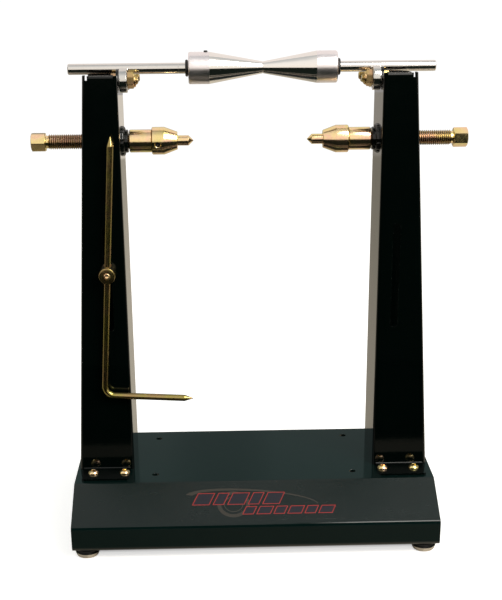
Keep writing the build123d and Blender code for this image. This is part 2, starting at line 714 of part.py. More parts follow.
with BuildPart() as pointer_clamp:
    with BuildSketch(Plane.XZ.offset(-clamp_back_y)):
        with Locations((clamp_x, clamp_z)):
            Circle(clamp_r)
    extrude(amount=clamp_back_y - clamp_front_y)
    fillet(pointer_clamp.edges().filter_by(GeomType.CIRCLE).sort_by(Axis.Y)[0],
           radius=clamp_fillet)
    chamfer(pointer_clamp.edges().filter_by(GeomType.CIRCLE).sort_by(Axis.Y)[-1],
            length=clamp_chamfer)
    # rod bore
    with Locations(Plane(origin=(clamp_x, rod_y, clamp_z), z_dir=rod_up)):
        Cylinder(rod_r + rod_bore_gap, rod_cut_l, mode=Mode.SUBTRACT)
    # lock screw hole, from the rod to the front
    with BuildSketch(Plane.XZ.offset(-rod_y)):
        with Locations((clamp_x, clamp_z)):
            Circle(lock_hole_r)
    extrude(amount=20, mode=Mode.SUBTRACT)
    # blind stud hole in the back face
    with BuildSketch(Plane.XZ.offset(-clamp_back_y - 1)):
        with Locations((clamp_x, clamp_z)):
            Circle(stud_hole_r)
    extrude(amount=stud_hole_depth + 1, mode=Mode.SUBTRACT)
write_part(pointer_clamp.part, "pointer_clamp")

lock_screw_offset = -rod_y + rod_r + 0.03      # just clear of the rod
lock_screw_r, lock_screw_l, lock_screw_chamfer = 2.98, 4.2, 0.5
lock_socket_r, lock_socket_depth = 1.5, 2.6

with BuildPart() as pointer_lock_screw:
    with BuildSketch(Plane.XZ.offset(lock_screw_offset)):
        with Locations((clamp_x, clamp_z)):
            Circle(lock_screw_r)
    extrude(amount=lock_screw_l)
    chamfer(pointer_lock_screw.edges().filter_by(GeomType.CIRCLE), length=lock_screw_chamfer)
    with BuildSketch(Plane.XZ.offset(lock_screw_offset + lock_screw_l)):
        with Locations((clamp_x, clamp_z)):
            RegularPolygon(lock_socket_r, 6, major_radius=False)
    extrude(amount=-lock_socket_depth, mode=Mode.SUBTRACT)
write_part(pointer_lock_screw.part, "pointer_lock_screw")

# stud fixed in the back of the clamp, through the slot
stud_front_y, stud_back_y = clamp_back_y - 1.95, -20.0
stud_r, stud_chamfer = 2.96, 0.5

with BuildPart() as pointer_stud:
    with BuildSketch(Plane.XZ.offset(-stud_front_y)):
        with Locations((clamp_x, clamp_z)):
            Circle(stud_r)
    extrude(amount=-(stud_back_y - stud_front_y))
    chamfer(pointer_stud.edges().filter_by(GeomType.CIRCLE), length=stud_chamfer)
write_part(pointer_stud.part, "pointer_stud")

washer_gap, washer_bore_r = 0.02, 3.2
front_washer_r = 7.6
front_washer_t = -clamp_back_y - half_depth - 0.05
back_washer_r, back_washer_t = 8.5, 1.5
back_washer_offset = half_depth - sheet - washer_gap

# one washer on each side of the front flange
with BuildPart() as pointer_washers:
    with BuildSketch(Plane.XZ.offset(half_depth + washer_gap)):
        with Locations((clamp_x, clamp_z)):
            Circle(front_washer_r)
            Circle(washer_bore_r, mode=Mode.SUBTRACT)
    extrude(amount=front_washer_t)
    with BuildSketch(Plane.XZ.offset(back_washer_offset)):
        with Locations((clamp_x, clamp_z)):
            Circle(back_washer_r)
            Circle(washer_bore_r, mode=Mode.SUBTRACT)
    extrude(amount=-back_washer_t)
write_part(pointer_washers.part, "pointer_washers")

pointer_nut_h = 5.0

with BuildPart() as pointer_nut:
    with BuildSketch(Plane.XZ.offset(back_washer_offset - back_washer_t - washer_gap)):
        with Locations((clamp_x, clamp_z)):
            RegularPolygon(m6_hex_r, 6, major_radius=False)
            Circle(m6_thread_r, mode=Mode.SUBTRACT)
    extrude(amount=-pointer_nut_h)
write_part(pointer_nut.part, "pointer_nut")

# ---------------------------------------------------------------------------
# Levelling glides: plated shell, rubber cushion, threaded stem, weld nut
# ---------------------------------------------------------------------------
glide_r, glide_h, shell_t = 11.9, 5.0, 0.8
shell_flat_r, shell_inner_flat_r = 8.2, 7.9
shell_arc_mid, shell_inner_arc_mid = (10.7, 1.5), (10.0, 2.1)      # radius, height

with BuildPart() as glide_shell:
    with BuildSketch(Plane.XZ):
        with BuildLine():
            Line((0, 0), (shell_flat_r, 0))
            ThreePointArc((shell_flat_r, 0), shell_arc_mid, (glide_r, glide_h))
            Line((glide_r, glide_h), (glide_r - shell_t, glide_h))
            ThreePointArc((glide_r - shell_t, glide_h), shell_inner_arc_mid,
                          (shell_inner_flat_r, shell_t))
            Line((shell_inner_flat_r, shell_t), (0, shell_t))
            Line((0, shell_t), (0, 0))
        make_face()
    revolve(axis=Axis.Z)

# radius, height: a cup around the foot of the stem
cushion_profile = [
    (0, 0.85), (7.5, 0.85), (9.5, 2.6), (9.6, 7.2),
    (9.0, 7.8), (4.1, 7.8), (4.1, 3.0), (0, 3.0),
]

with BuildPart() as glide_cushion:
    with BuildSketch(Plane.XZ):
        with BuildLine():
            Polyline(*cushion_profile, close=True)
        make_face()
    revolve(axis=Axis.Z)

# radius, height: rod with a chamfered top
stem_profile = [(0, 3.2), (4.0, 3.2), (4.0, 37.4), (3.4, 38.0), (0, 38.0)]
stem_hex_z, stem_hex_h = 7.9, 2.3

with BuildPart() as glide_stem:
    with BuildSketch(Plane.XZ):
        with BuildLine():
            Polyline(*stem_profile, close=True)
        make_face()
    revolve(axis=Axis.Z)
    with BuildSketch(Plane.XY.offset(stem_hex_z)):
        RegularPolygon(m8_hex_r, 6, major_radius=False)
    extrude(amount=stem_hex_h)

weld_nut_bore_r, weld_nut_h = 4.03, 6.5

# sits on top of the return flange
with BuildPart() as weld_nut:
    with BuildSketch(Plane.XY.offset(base_bottom_z + sheet)):
        RegularPolygon(m8_hex_r, 6, major_radius=False)
        Circle(weld_nut_bore_r, mode=Mode.SUBTRACT)
    extrude(amount=weld_nut_h)
write_copies(weld_nut, four_corners(foot_x, foot_y), "glide_weld_nuts")

glide_pieces = {
    "glide_shell": glide_shell,
    "glide_cushion": glide_cushion,
    "glide_stem": glide_stem,
}
for piece_name, piece in glide_pieces.items():
    for end, y in (("front", -foot_y), ("back", foot_y)):
        for hand, x in (("left", -foot_x), ("right", foot_x)):
            write_copies(piece, [(x, y, 0)], f"{piece_name}_{end}_{hand}")
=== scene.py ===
import json
import math

import bmesh
import bpy
from mathutils import Matrix, Vector, noise


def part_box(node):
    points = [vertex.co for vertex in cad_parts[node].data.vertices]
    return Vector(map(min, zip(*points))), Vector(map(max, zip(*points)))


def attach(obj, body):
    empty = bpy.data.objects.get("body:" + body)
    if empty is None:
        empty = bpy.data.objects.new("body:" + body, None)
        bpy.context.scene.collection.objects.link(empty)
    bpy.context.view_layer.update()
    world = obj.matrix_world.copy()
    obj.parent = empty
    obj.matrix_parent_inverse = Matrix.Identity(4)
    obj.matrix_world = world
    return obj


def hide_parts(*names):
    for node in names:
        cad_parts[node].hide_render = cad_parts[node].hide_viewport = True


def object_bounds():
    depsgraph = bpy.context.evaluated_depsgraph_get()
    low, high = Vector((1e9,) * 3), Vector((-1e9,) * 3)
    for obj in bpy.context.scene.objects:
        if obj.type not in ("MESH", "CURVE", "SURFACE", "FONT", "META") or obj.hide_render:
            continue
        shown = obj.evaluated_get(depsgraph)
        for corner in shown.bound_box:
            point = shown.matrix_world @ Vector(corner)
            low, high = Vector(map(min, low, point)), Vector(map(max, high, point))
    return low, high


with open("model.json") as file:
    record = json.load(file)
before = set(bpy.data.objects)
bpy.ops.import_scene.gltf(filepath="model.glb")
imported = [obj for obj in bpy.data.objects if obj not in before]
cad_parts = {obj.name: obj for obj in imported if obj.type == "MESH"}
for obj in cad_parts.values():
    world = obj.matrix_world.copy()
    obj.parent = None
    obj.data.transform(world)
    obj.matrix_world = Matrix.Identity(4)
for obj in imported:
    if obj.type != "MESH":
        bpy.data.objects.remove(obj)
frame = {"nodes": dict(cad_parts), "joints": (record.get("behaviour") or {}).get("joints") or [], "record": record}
CAD_LO, CAD_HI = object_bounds()
NODES = frame["nodes"]
RECORD = frame["record"]
SLOT_OF = {p["node"]: p["material_slot"] for p in RECORD["subparts"]}
BODY_OF = {n: b for b, ns in RECORD["behaviour"]["bodies"].items() for n in ns}
JOINT = {j["name"]: j for j in frame["joints"]}
MM = 0.001
TAU = 2 * math.pi


# ---------------------------------------------------------------------------
# Node helpers
# ---------------------------------------------------------------------------
class Tree:
    """Short way to write a node tree."""

    def __init__(self, tree):
        self.t = tree
        tree.nodes.clear()

    def node(self, kind, **kw):
        n = self.t.nodes.new(kind)
        for k, v in kw.items():
            setattr(n, k, v)
        return n

    def link(self, a, b):
        self.t.links.new(a, b)

    def put(self, socket, value):
        if isinstance(value, bpy.types.NodeSocket):
            self.link(value, socket)
        else:
            socket.default_value = value

    def math(self, op, a, b=0.0, c=0.0, clamp=False):
        n = self.node("ShaderNodeMath", operation=op, use_clamp=clamp)
        self.put(n.inputs[0], a)
        self.put(n.inputs[1], b)
        self.put(n.inputs[2], c)
        return n.outputs[0]

    def mix(self, fac, a, b, blend="MIX"):
        n = self.node("ShaderNodeMix", data_type="RGBA", blend_type=blend)
        self.put(n.inputs["Factor"], fac)
        self.put(n.inputs[6], a)
        self.put(n.inputs[7], b)
        return n.outputs[2]

    def remap(self, value, a, b, c, d, smooth=False):
        n = self.node("ShaderNodeMapRange")
        if smooth:
            n.interpolation_type = "SMOOTHSTEP"
        self.put(n.inputs[0], value)
        for i, x in enumerate((a, b, c, d)):
            self.put(n.inputs[1 + i], x)
        return n.outputs[0]

    def ramp(self, value, stops, mode="LINEAR"):
        n = self.node("ShaderNodeValToRGB")
        cr = n.color_ramp
        cr.interpolation = mode
        while len(cr.elements) < len(stops):
            cr.elements.new(0.5)
        for e, (pos, col) in zip(cr.elements, sorted(stops, key=lambda s: s[0])):
            e.position = pos
            e.color = (*col, 1.0)
        self.put(n.inputs[0], value)
        return n.outputs[0]

    def scaled(self, vector, scale):
        n = self.node("ShaderNodeMapping")
        self.put(n.inputs[0], vector)
        n.inputs["Scale"].default_value = scale
        return n.outputs[0]

    def noise(self, vector, scale, detail=3.0, rough=0.5, distortion=0.0):
        n = self.node("ShaderNodeTexNoise")
        self.put(n.inputs["Vector"], vector)
        n.inputs["Scale"].default_value = scale
        n.inputs["Detail"].default_value = detail
        n.inputs["Roughness"].default_value = rough
        n.inputs["Distortion"].default_value = distortion
        return n.outputs["Fac"]


def rgb(r, g, b):
    """sRGB 0..255 to linear with alpha."""
    def f(c):
        c /= 255.0
        return c / 12.92 if c <= 0.04045 else ((c + 0.055) / 1.055) ** 2.4
    return (f(r), f(g), f(b), 1.0)


def new_material(name):
    m = bpy.data.materials.new(name)
    m.use_nodes = True
    t = Tree(m.node_tree)
    out = t.node("ShaderNodeOutputMaterial")
    bsdf = t.node("ShaderNodeBsdfPrincipled")
    t.link(bsdf.outputs[0], out.inputs[0])
    coord = t.node("ShaderNodeTexCoord").outputs["Object"]
    return m, t, bsdf, coord


def bump(t, bsdf, height, strength, distance, under=None):
    n = t.node("ShaderNodeBump")
    n.inputs["Strength"].default_value = strength
    n.inputs["Distance"].default_value = distance
    t.put(n.inputs["Height"], height)
    if under is not None:
        t.link(under, n.inputs["Normal"])
    t.link(n.outputs[0], bsdf.inputs["Normal"])
    return n.outputs[0]


def powder_coat(name, rough=0.085, peel=0.10, dark=(0.0008, 0.0036, 0.0030), light=(0.0014, 0.0054, 0.0046), slope=0.0):
    """Gloss black powder coat: orange peel, faint haze, nibs of dust and thin worn edges.
    slope: how much duller it is where the sheet leans, which gets handled the most."""
    m, t, b, co = new_material(name)
    cloud = t.noise(co, 14.0, 4.0, 0.55)
    speck = t.noise(co, 2600.0, 2.0, 0.5)
    base = t.mix(cloud, (*dark, 1), (*light, 1))
    base = t.mix(t.remap(speck, 0.72, 0.82, 0.0, 0.30), base, (0.030, 0.038, 0.036, 1))
    # thin paint along the sheet edges: where a rounded normal leaves the true one
    soft = t.node("ShaderNodeBevel", samples=4)
    soft.inputs["Radius"].default_value = 0.0007
    dot = t.node("ShaderNodeVectorMath", operation="DOT_PRODUCT")
    t.link(soft.outputs[0], dot.inputs[0])
    t.link(t.node("ShaderNodeNewGeometry").outputs["Normal"], dot.inputs[1])
    worn = t.math("MULTIPLY", t.remap(dot.outputs["Value"], 0.97, 0.80, 0.0, 0.45), t.remap(t.noise(co, 420.0, 4.0), 0.46, 0.64, 0.0, 1.0))
    base = t.mix(worn, base, (0.055, 0.062, 0.060, 1))
    t.link(base, b.inputs["Base Color"])
    haze = t.noise(co, 55.0, 5.0, 0.6)
    smear = t.noise(t.scaled(co, (60.0, 240.0, 60.0)), 1.0, 4.0, 0.6)
    r = t.math("ADD", t.remap(haze, 0.3, 0.7, rough - 0.02, rough + 0.02), t.remap(smear, 0.55, 0.8, 0.0, 0.03))
    if slope:
        lean = t.node("ShaderNodeSeparateXYZ")
        t.link(t.node("ShaderNodeNewGeometry").outputs["Normal"], lean.inputs[0])
        flat = t.remap(lean.outputs[2], 0.91, 0.97, 1.0, 0.0, True)
        r = t.math("ADD", r, t.math("MULTIPLY", t.math("MULTIPLY", flat, t.remap(lean.outputs[2], 0.81, 0.86, 0.0, 1.0, True)), slope))
    t.link(r, b.inputs["Roughness"])
    b.inputs["IOR"].default_value = 1.45
    b.inputs["Specular IOR Level"].default_value = 0.5
    wave = t.noise(co, 520.0, 2.0, 0.45)
    long_wave = t.noise(co, 60.0, 2.0, 0.5)
    first = t.node("ShaderNodeBump")
    first.inputs["Strength"].default_value = 0.25
    first.inputs["Distance"].default_value = 0.00022
    t.link(long_wave, first.inputs["Height"])
    bump(t, b, wave, peel, 0.00006, first.outputs[0])
    return m


def yellow_zinc(name, axis=None, rough=0.15, lines=0.25, tone=(1.0, 1.0, 1.0), root=None):
    """Yellow chromate zinc: metal that drifts between straw, rose and green, with tool marks round axis.
    root: (centre z, crest radius, root radius) in metres of a thread along X, whose valleys are darker."""
    m, t, b, co = new_material(name)
    b.inputs["Metallic"].default_value = 1.0
    drift = t.noise(co, 52.0, 2.0, 0.5, 0.6)
    fine = t.noise(co, 420.0, 3.0, 0.6)
    facing = t.node("ShaderNodeLayerWeight")
    facing.inputs["Blend"].default_value = 0.30

    def shade(c):
        return tuple(a * k for a, k in zip(c, tone))
    col = t.ramp(drift, [(0.28, shade((0.80, 0.70, 0.27))), (0.40, shade((0.91, 0.72, 0.33))), (0.50, shade((0.94, 0.70, 0.40))),
                         (0.60, shade((0.94, 0.60, 0.42))), (0.74, shade((0.86, 0.74, 0.34)))])
    col = t.mix(t.remap(facing.outputs["Facing"], 0.25, 0.9, 0.0, 0.65), col, (*shade((0.66, 0.68, 0.27)), 1))
    col = t.mix(t.remap(fine, 0.45, 0.75, 0.0, 0.22), col, (*shade((0.56, 0.42, 0.18)), 1))
    if root is not None:
        zc, crest, low = root
        sep = t.node("ShaderNodeSeparateXYZ")
        t.link(co, sep.inputs[0])
        dz = t.math("SUBTRACT", sep.outputs[2], zc)
        rad = t.math("SQRT", t.math("ADD", t.math("MULTIPLY", dz, dz), t.math("MULTIPLY", sep.outputs[1], sep.outputs[1])))
        valley = t.remap(rad, low, crest, 0.80, 0.0, True)
        col = t.mix(valley, col, (*shade((0.20, 0.15, 0.075)), 1))
    t.link(col, b.inputs["Base Color"])
    t.link(t.remap(fine, 0.3, 0.7, rough - 0.03, rough + 0.06), b.inputs["Roughness"])
    grain = t.noise(co, 1500.0, 2.0, 0.6)
    height = grain
    if axis is not None:
        sep = t.node("ShaderNodeSeparateXYZ")
        t.link(co, sep.inputs[0])
        along = sep.outputs["XYZ".index(axis)]
        comb = t.node("ShaderNodeCombineXYZ")
        t.link(t.math("MULTIPLY", along, 5200.0), comb.inputs[0])
        rings = t.noise(comb.outputs[0], 1.0, 3.0, 0.7)
        height = t.math("ADD", t.math("MULTIPLY", rings, lines * 2), t.math("MULTIPLY", grain, 0.5))
    bump(t, b, height, 0.16, 0.00003)
    return m


def bright_steel(name, col_a, col_b, rough, axis=None, rings=0.5, tint=None, ring_scale=6500.0, strength=0.25):
    """Bare or plated bright metal, with tool or grinding marks round axis, small scuffs and a little staining."""
    m, t, b, co = new_material(name)
    b.inputs["Metallic"].default_value = 1.0
    stain = t.noise(co, 70.0, 4.0, 0.6, 0.4)
    col = t.mix(stain, (*col_a, 1), (*col_b, 1))
    if tint is not None:
        col = t.mix(t.remap(t.noise(co, 210.0, 4.0, 0.6), 0.55, 0.75, 0.0, 0.35), col, (*tint, 1))
    t.link(col, b.inputs["Base Color"])
    scuff = t.noise(t.scaled(co, (260.0, 900.0, 900.0)), 1.0, 5.0, 0.65)
    r = t.math("ADD", t.remap(stain, 0.3, 0.7, rough * 0.85, rough * 1.15), t.remap(scuff, 0.60, 0.8, 0.0, 0.07))
    t.link(r, b.inputs["Roughness"])
    grain = t.noise(co, 2200.0, 2.0, 0.6)
    height = grain
    if axis is not None:
        sep = t.node("ShaderNodeSeparateXYZ")
        t.link(co, sep.inputs[0])
        comb = t.node("ShaderNodeCombineXYZ")
        t.link(t.math("MULTIPLY", sep.outputs["XYZ".index(axis)], ring_scale), comb.inputs[0])
        ring = t.noise(comb.outputs[0], 1.0, 4.0, 0.75)
        height = t.math("ADD", t.math("MULTIPLY", ring, rings), t.math("MULTIPLY", grain, 0.25))
    bump(t, b, height, strength, 0.00003)
    return m


def dull_plastic(name, col_a, col_b, rough, grain=900.0, strength=0.3, sss=0.0):
    m, t, b, co = new_material(name)
    n = t.noise(co, 160.0, 4.0, 0.6)
    col = t.mix(n, (*col_a, 1), (*col_b, 1))
    dust = t.noise(co, 3000.0, 2.0, 0.5)
    col = t.mix(t.remap(dust, 0.68, 0.82, 0.0, 0.12), col, (0.16, 0.155, 0.14, 1))
    t.link(col, b.inputs["Base Color"])
    t.link(t.remap(n, 0.3, 0.7, rough - 0.06, rough + 0.08), b.inputs["Roughness"])
    if sss:
        b.inputs["Subsurface Weight"].default_value = sss
        b.inputs["Subsurface Radius"].default_value = (0.002, 0.002, 0.002)
    bump(t, b, t.noise(co, grain, 4.0, 0.6), strength, 0.00008)
    return m


def vinyl(name, col, rough=0.24, vary=0.25, metallic=0.0):
    """Printed vinyl: even ink with a faint screen mottle, and the skin follows the paint under it."""
    m, t, b, co = new_material(name)
    n = t.noise(co, 900.0, 3.0, 0.6)
    w = t.noise(co, 30.0, 3.0, 0.5)
    dark = tuple(c * (1 - vary) for c in col)
    base = t.mix(n, (*dark, 1), (*col, 1))
    base = t.mix(t.remap(w, 0.4, 0.7, 0.0, 0.25), base, (*[c * 0.6 for c in col], 1))
    t.link(base, b.inputs["Base Color"])
    t.link(t.remap(w, 0.3, 0.7, rough - 0.04, rough + 0.05), b.inputs["Roughness"])
    b.inputs["Metallic"].default_value = metallic
    b.inputs["IOR"].default_value = 1.45
    bump(t, b, t.noise(co, 520.0, 2.0, 0.45), 0.22, 0.00005)
    return m


M = {
    "black_powder_coat": powder_coat("black_powder_coat", dark=(0.0002, 0.0010, 0.0008), light=(0.0005, 0.0020, 0.0016)),
    "base_coat": powder_coat("black_powder_coat_base", dark=(0.0010, 0.0056, 0.0050), light=(0.0016, 0.0080, 0.0072), slope=0.17),
    "weld": powder_coat("black_powder_coat_weld", rough=0.13, peel=0.6, dark=(0.0002, 0.0010, 0.0008), light=(0.0005, 0.0020, 0.0016)),
    "yellow_zinc": yellow_zinc("yellow_zinc"),
    "yellow_zinc_x": yellow_zinc("yellow_zinc_turned", axis="X"),
    "yellow_zinc_nut": yellow_zinc("yellow_zinc_nut", rough=0.22, tone=(0.62, 0.58, 0.50)),
    # a darker copy of yellow zinc: painted shade for the rod and the clamp, which mirror the dark front
    "yellow_zinc_rod": yellow_zinc("yellow_zinc_rod", rough=0.19, tone=(0.40, 0.42, 0.28)),
    "yellow_zinc_thread": yellow_zinc("yellow_zinc_thread", rough=0.24, tone=(0.80, 0.80, 0.92), root=(0.3856, 0.00692, 0.0060)),
    "black_oxide": dull_plastic("black_oxide", (0.010, 0.010, 0.011), (0.022, 0.021, 0.020), 0.34, 1800.0, 0.2),
    "nylon": dull_plastic("nylon", (0.52, 0.53, 0.50), (0.62, 0.62, 0.58), 0.42, 700.0, 0.2, 0.15),
    "zinc_steel": bright_steel("zinc_steel", (0.56, 0.57, 0.58), (0.68, 0.68, 0.67), 0.26),
    "bearing_steel": bright_steel("bearing_steel", (0.62, 0.61, 0.59), (0.74, 0.73, 0.70), 0.12, "X", 0.4),
    "bearing_shield": bright_steel("bearing_shield", (0.46, 0.45, 0.43), (0.60, 0.59, 0.56), 0.26),
    "ground_steel": bright_steel("ground_steel", (0.70, 0.68, 0.66), (0.80, 0.77, 0.74), 0.11, "X", 0.5, (0.60, 0.55, 0.50), 5200.0),
    "turned_aluminium": bright_steel("turned_aluminium_polished", (0.84, 0.81, 0.78), (0.92, 0.89, 0.86), 0.09, "X", 0.6, None, 3600.0, 0.2),
    "satin_aluminium": bright_steel("turned_aluminium_satin", (0.83, 0.78, 0.79), (0.90, 0.85, 0.86), 0.30, "X", 1.0, None, 3000.0, 0.5),
    "rubber": dull_plastic("rubber", (0.004, 0.0045, 0.0042), (0.010, 0.011, 0.010), 0.48, 1400.0, 0.35),
    "nickel_plate": bright_steel("nickel_plate", (0.58, 0.55, 0.50), (0.72, 0.69, 0.63), 0.17, "Z", 0.5, (0.40, 0.36, 0.30), 4000.0),
    "label_panel": powder_coat("label_panel", rough=0.26, peel=0.10, dark=(0.0010, 0.0056, 0.0050), light=(0.0016, 0.0080, 0.0072)),
    "label_red": vinyl("label_red", (0.36, 0.026, 0.022), 0.24, 0.2),
    "label_brown": vinyl("label_brown", (0.040, 0.036, 0.029), 0.20, 0.25),
    "label_blue": vinyl("label_blue", (0.014, 0.014, 0.022), 0.20, 0.25),
}


# ---------------------------------------------------------------------------
# Mesh helpers: everything below is in millimetres until it is written out
# ---------------------------------------------------------------------------
class Axis:
    """Local frame: z along the axis, x and y across it."""

    def __init__(self, origin, z, x=None):
        self.o = Vector(origin)
        self.z = Vector(z).normalized()
        if x is None:
            x = Vector((0, 0, 1)) if abs(self.z.z) < 0.9 else Vector((1, 0, 0))
        x = Vector(x)
        self.x = (x - self.z * x.dot(self.z)).normalized()
        self.y = self.z.cross(self.x)

    def at(self, x, y, z):
        return self.o + self.x * x + self.y * y + self.z * z


class Build:
    """Collects closed solids in one mesh."""

    def __init__(self):
        self.v, self.f, self.m = [], [], []

    def grid(self, ax, rows, seg, close=False, mat=0):
        """rows: (z, r) with numbers or functions of the angle. r of 0 at an end makes a pole; close joins the last row to the first."""
        start = len(self.v)
        rings = []
        for z, r in rows:
            if not callable(r) and r == 0:
                rings.append([len(self.v)])
                self.v.append(ax.at(0, 0, z(0) if callable(z) else z))
                continue
            ring = []
            for i in range(seg):
                a = TAU * i / seg
                rr = r(a) if callable(r) else r
                zz = z(a) if callable(z) else z
                ring.append(len(self.v))
                self.v.append(ax.at(rr * math.cos(a), rr * math.sin(a), zz))
            rings.append(ring)
        pairs = list(zip(rings[:-1], rings[1:]))
        if close:
            pairs.append((rings[-1], rings[0]))
        for p, q in pairs:
            for i in range(seg):
                j = (i + 1) % seg
                if len(p) == 1:
                    face = (p[0], q[i], q[j])
                elif len(q) == 1:
                    face = (p[i], p[j], q[0])
                else:
                    face = (p[i], q[i], q[j], p[j])
                self.f.append(face)
                self.m.append(mat)
        return start

    def prism(self, corners, ax, z0, z1, mat=0):
        """A closed flat prism from corner points (x, y) in ax, between heights z0 and z1."""
        n, s = len(corners), len(self.v)
        for z in (z0, z1):
            for x, y in corners:
                self.v.append(ax.at(x, y, z))
        self.f.append(tuple(range(s + n - 1, s - 1, -1)))
        self.f.append(tuple(range(s + n, s + 2 * n)))
        self.m += [mat, mat]
        for i in range(n):
            j = (i + 1) % n
            self.f.append((s + i, s + j, s + n + j, s + n + i))
            self.m.append(mat)

    def ring_prism(self, outer, inner, ax, z0, z1, mat=0):
        """A closed flat ring between two loops with the same number of points."""
        n, s = len(outer), len(self.v)
        for loop, z in ((outer, z0), (outer, z1), (inner, z1), (inner, z0)):
            for x, y in loop:
                self.v.append(ax.at(x, y, z))
        for k in range(4):
            a, b = s + k * n, s + ((k + 1) % 4) * n
            for i in range(n):
                j = (i + 1) % n
                self.f.append((a + i, a + j, b + j, b + i))
                self.m.append(mat)

    def make(self, name, nodes, mats, sharp=32.0):
        nodes = [nodes] if isinstance(nodes, str) else list(nodes)
        me = bpy.data.meshes.new(name)
        me.from_pydata([tuple(p * MM) for p in self.v], [], self.f)
        me.polygons.foreach_set("material_index", self.m)
        ob = bpy.data.objects.new(name, me)
        bpy.context.scene.collection.objects.link(ob)
        for k in mats:
            me.materials.append(M[k] if isinstance(k, str) else k)
        tidy(me, sharp)
        place(ob, nodes)
        return ob


def tidy(me, sharp=32.0, dist=1e-7):
    bm = bmesh.new()
    bm.from_mesh(me)
    bmesh.ops.remove_doubles(bm, verts=bm.verts, dist=dist)
    bmesh.ops.dissolve_degenerate(bm, edges=bm.edges, dist=dist)
    bmesh.ops.recalc_face_normals(bm, faces=bm.faces)
    bm.to_mesh(me)
    bm.free()
    me.shade_smooth()
    me.set_sharp_from_angle(angle=math.radians(sharp))
    me.update()


def place(ob, nodes):
    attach(ob, BODY_OF[nodes[0]])
    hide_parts(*nodes)


def apply_modifiers(ob, sharp=32.0):
    dg = bpy.context.evaluated_depsgraph_get()
    me = bpy.data.meshes.new_from_object(ob.evaluated_get(dg))
    old = ob.data
    ob.modifiers.clear()
    ob.data = me
    bpy.data.meshes.remove(old)
    tidy(me, sharp, 2e-8)
    return ob


def flatten_normals(ob):
    """Keeps large flat faces flat where they meet small rounded ones."""
    m = ob.modifiers.new("flat", "WEIGHTED_NORMAL")
    m.mode, m.weight, m.keep_sharp = "FACE_AREA", 100, True
    dg = bpy.context.evaluated_depsgraph_get()
    me = bpy.data.meshes.new_from_object(ob.evaluated_get(dg))
    old = ob.data
    ob.modifiers.clear()
    ob.data = me
    bpy.data.meshes.remove(old)
    return ob


def cut(ob, cutters, sharp=32.0):
    """Takes the cutters (Build) out of ob."""
    me = bpy.data.meshes.new("cutter")
    me.from_pydata([tuple(p * MM) for p in cutters.v], [], cutters.f)
    tidy(me)
    c = bpy.data.objects.new("cutter", me)
    bpy.context.scene.collection.objects.link(c)
    m = ob.modifiers.new("cut", "BOOLEAN")
    m.operation, m.solver, m.object = "DIFFERENCE", "EXACT", c
    apply_modifiers(ob, sharp)
    bpy.data.objects.remove(c)
    return ob


def rounded(points, radius=0.15, steps=3, close=False):
    """Rounds the corners of a (z, r) polyline. A point may carry its own radius as a third number."""
    pts = [tuple(p) for p in points]
    n = len(pts)
    out = []
    for i, p in enumerate(pts):
        rad = p[2] if len(p) > 2 else radius
        if rad <= 0 or (not close and i in (0, n - 1)):
            out.append((p[0], p[1]))
            continue
        a, b = Vector(pts[i - 1][:2]), Vector(pts[(i + 1) % n][:2])
        c = Vector(p[:2])
        da, db = (a - c), (b - c)
        la, lb = da.length, db.length
        if la < 1e-6 or lb < 1e-6:
            out.append((p[0], p[1]))
            continue
        da.normalize()
        db.normalize()
        half = math.acos(max(-1, min(1, da.dot(db)))) / 2
        if half > math.pi / 2 - 0.03:
            out.append((p[0], p[1]))
            continue
        cut_len = min(rad / math.tan(half), la * 0.45, lb * 0.45)
        rr = cut_len * math.tan(half)
        centre = c + (da + db).normalized() * (rr / math.sin(half))
        s, e = c + da * cut_len - centre, c + db * cut_len - centre
        ang = math.atan2(s.x * e.y - s.y * e.x, s.dot(e))
        for k in range(steps + 1):
            w = ang * k / steps
            cw, sw = math.cos(w), math.sin(w)
            q = centre + Vector((s.x * cw - s.y * sw, s.x * sw + s.y * cw))
            out.append((q.x, q.y))
    return out


def hexagon(af, phase=0.0, corner=0.25):
    """Radius of a hexagon across flats af with its corners a little rounded, as a function of the angle."""
    def r(a):
        w = ((a - phase) % (TAU / 6)) - TAU / 12
        full = af / 2 / math.cos(w)
        return min(full, af / math.sqrt(3) - corner * 0.15)
    return r


def hex_rows(af, z0, z1, phase=0.0, face0=None, face1=None, slope=0.5774):
    """Rows of a hexagon from z0 to z1 with turned 30 degree corners where a face radius is given."""
    h = hexagon(af, phase)
    s = 1 if z1 > z0 else -1
    rows = []
    if face0 is not None:
        rows.append((z0, face0))
        rows.append((lambda a: z0 + s * max(0.02, (h(a) - face0) * slope), h))
    else:
        rows.append((z0, h))
    if face1 is not None:
        rows.append((lambda a: z1 - s * max(0.02, (h(a) - face1) * slope), h))
        rows.append((z1, face1))
    else:
        rows.append((z1, h))
    return rows


def thread_rows(z0, z1, major, depth, pitch, lead_in=0.8, lead_out=0.8, steps=8, left=False):
    """Rows of a V thread from z0 to z1; both ends run out to the root."""
    n = max(4, int(round(abs(z1 - z0) / pitch * steps)))
    rows = []
    sense = -1 if left else 1
    lo, hi = min(z0, z1), max(z0, z1)
    for i in range(n + 1):
        z = z0 + (z1 - z0) * i / n

        def r(a, z=z):
            f = (z / pitch + sense * a / TAU) % 1.0
            tri = abs(f - 0.5) * 2
            h = min(1.0, max(0.0, (tri - 0.10) / 0.78))
            # the crest is flat and the root a little round
            h = h * h * (3 - 2 * h) * 0.35 + h * 0.65
            full = major - depth * (1 - h)
            cap = major - depth + max(0.0, (z - lo) / lead_in) * depth * 1.3
            cap2 = major - depth + max(0.0, (hi - z) / lead_out) * depth * 1.3
            return min(full, cap, cap2) if lead_in and lead_out else full
        rows.append((z, r))
    return rows


def mm_box(node):
    lo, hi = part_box(node)
    return Vector(lo) / MM, Vector(hi) / MM


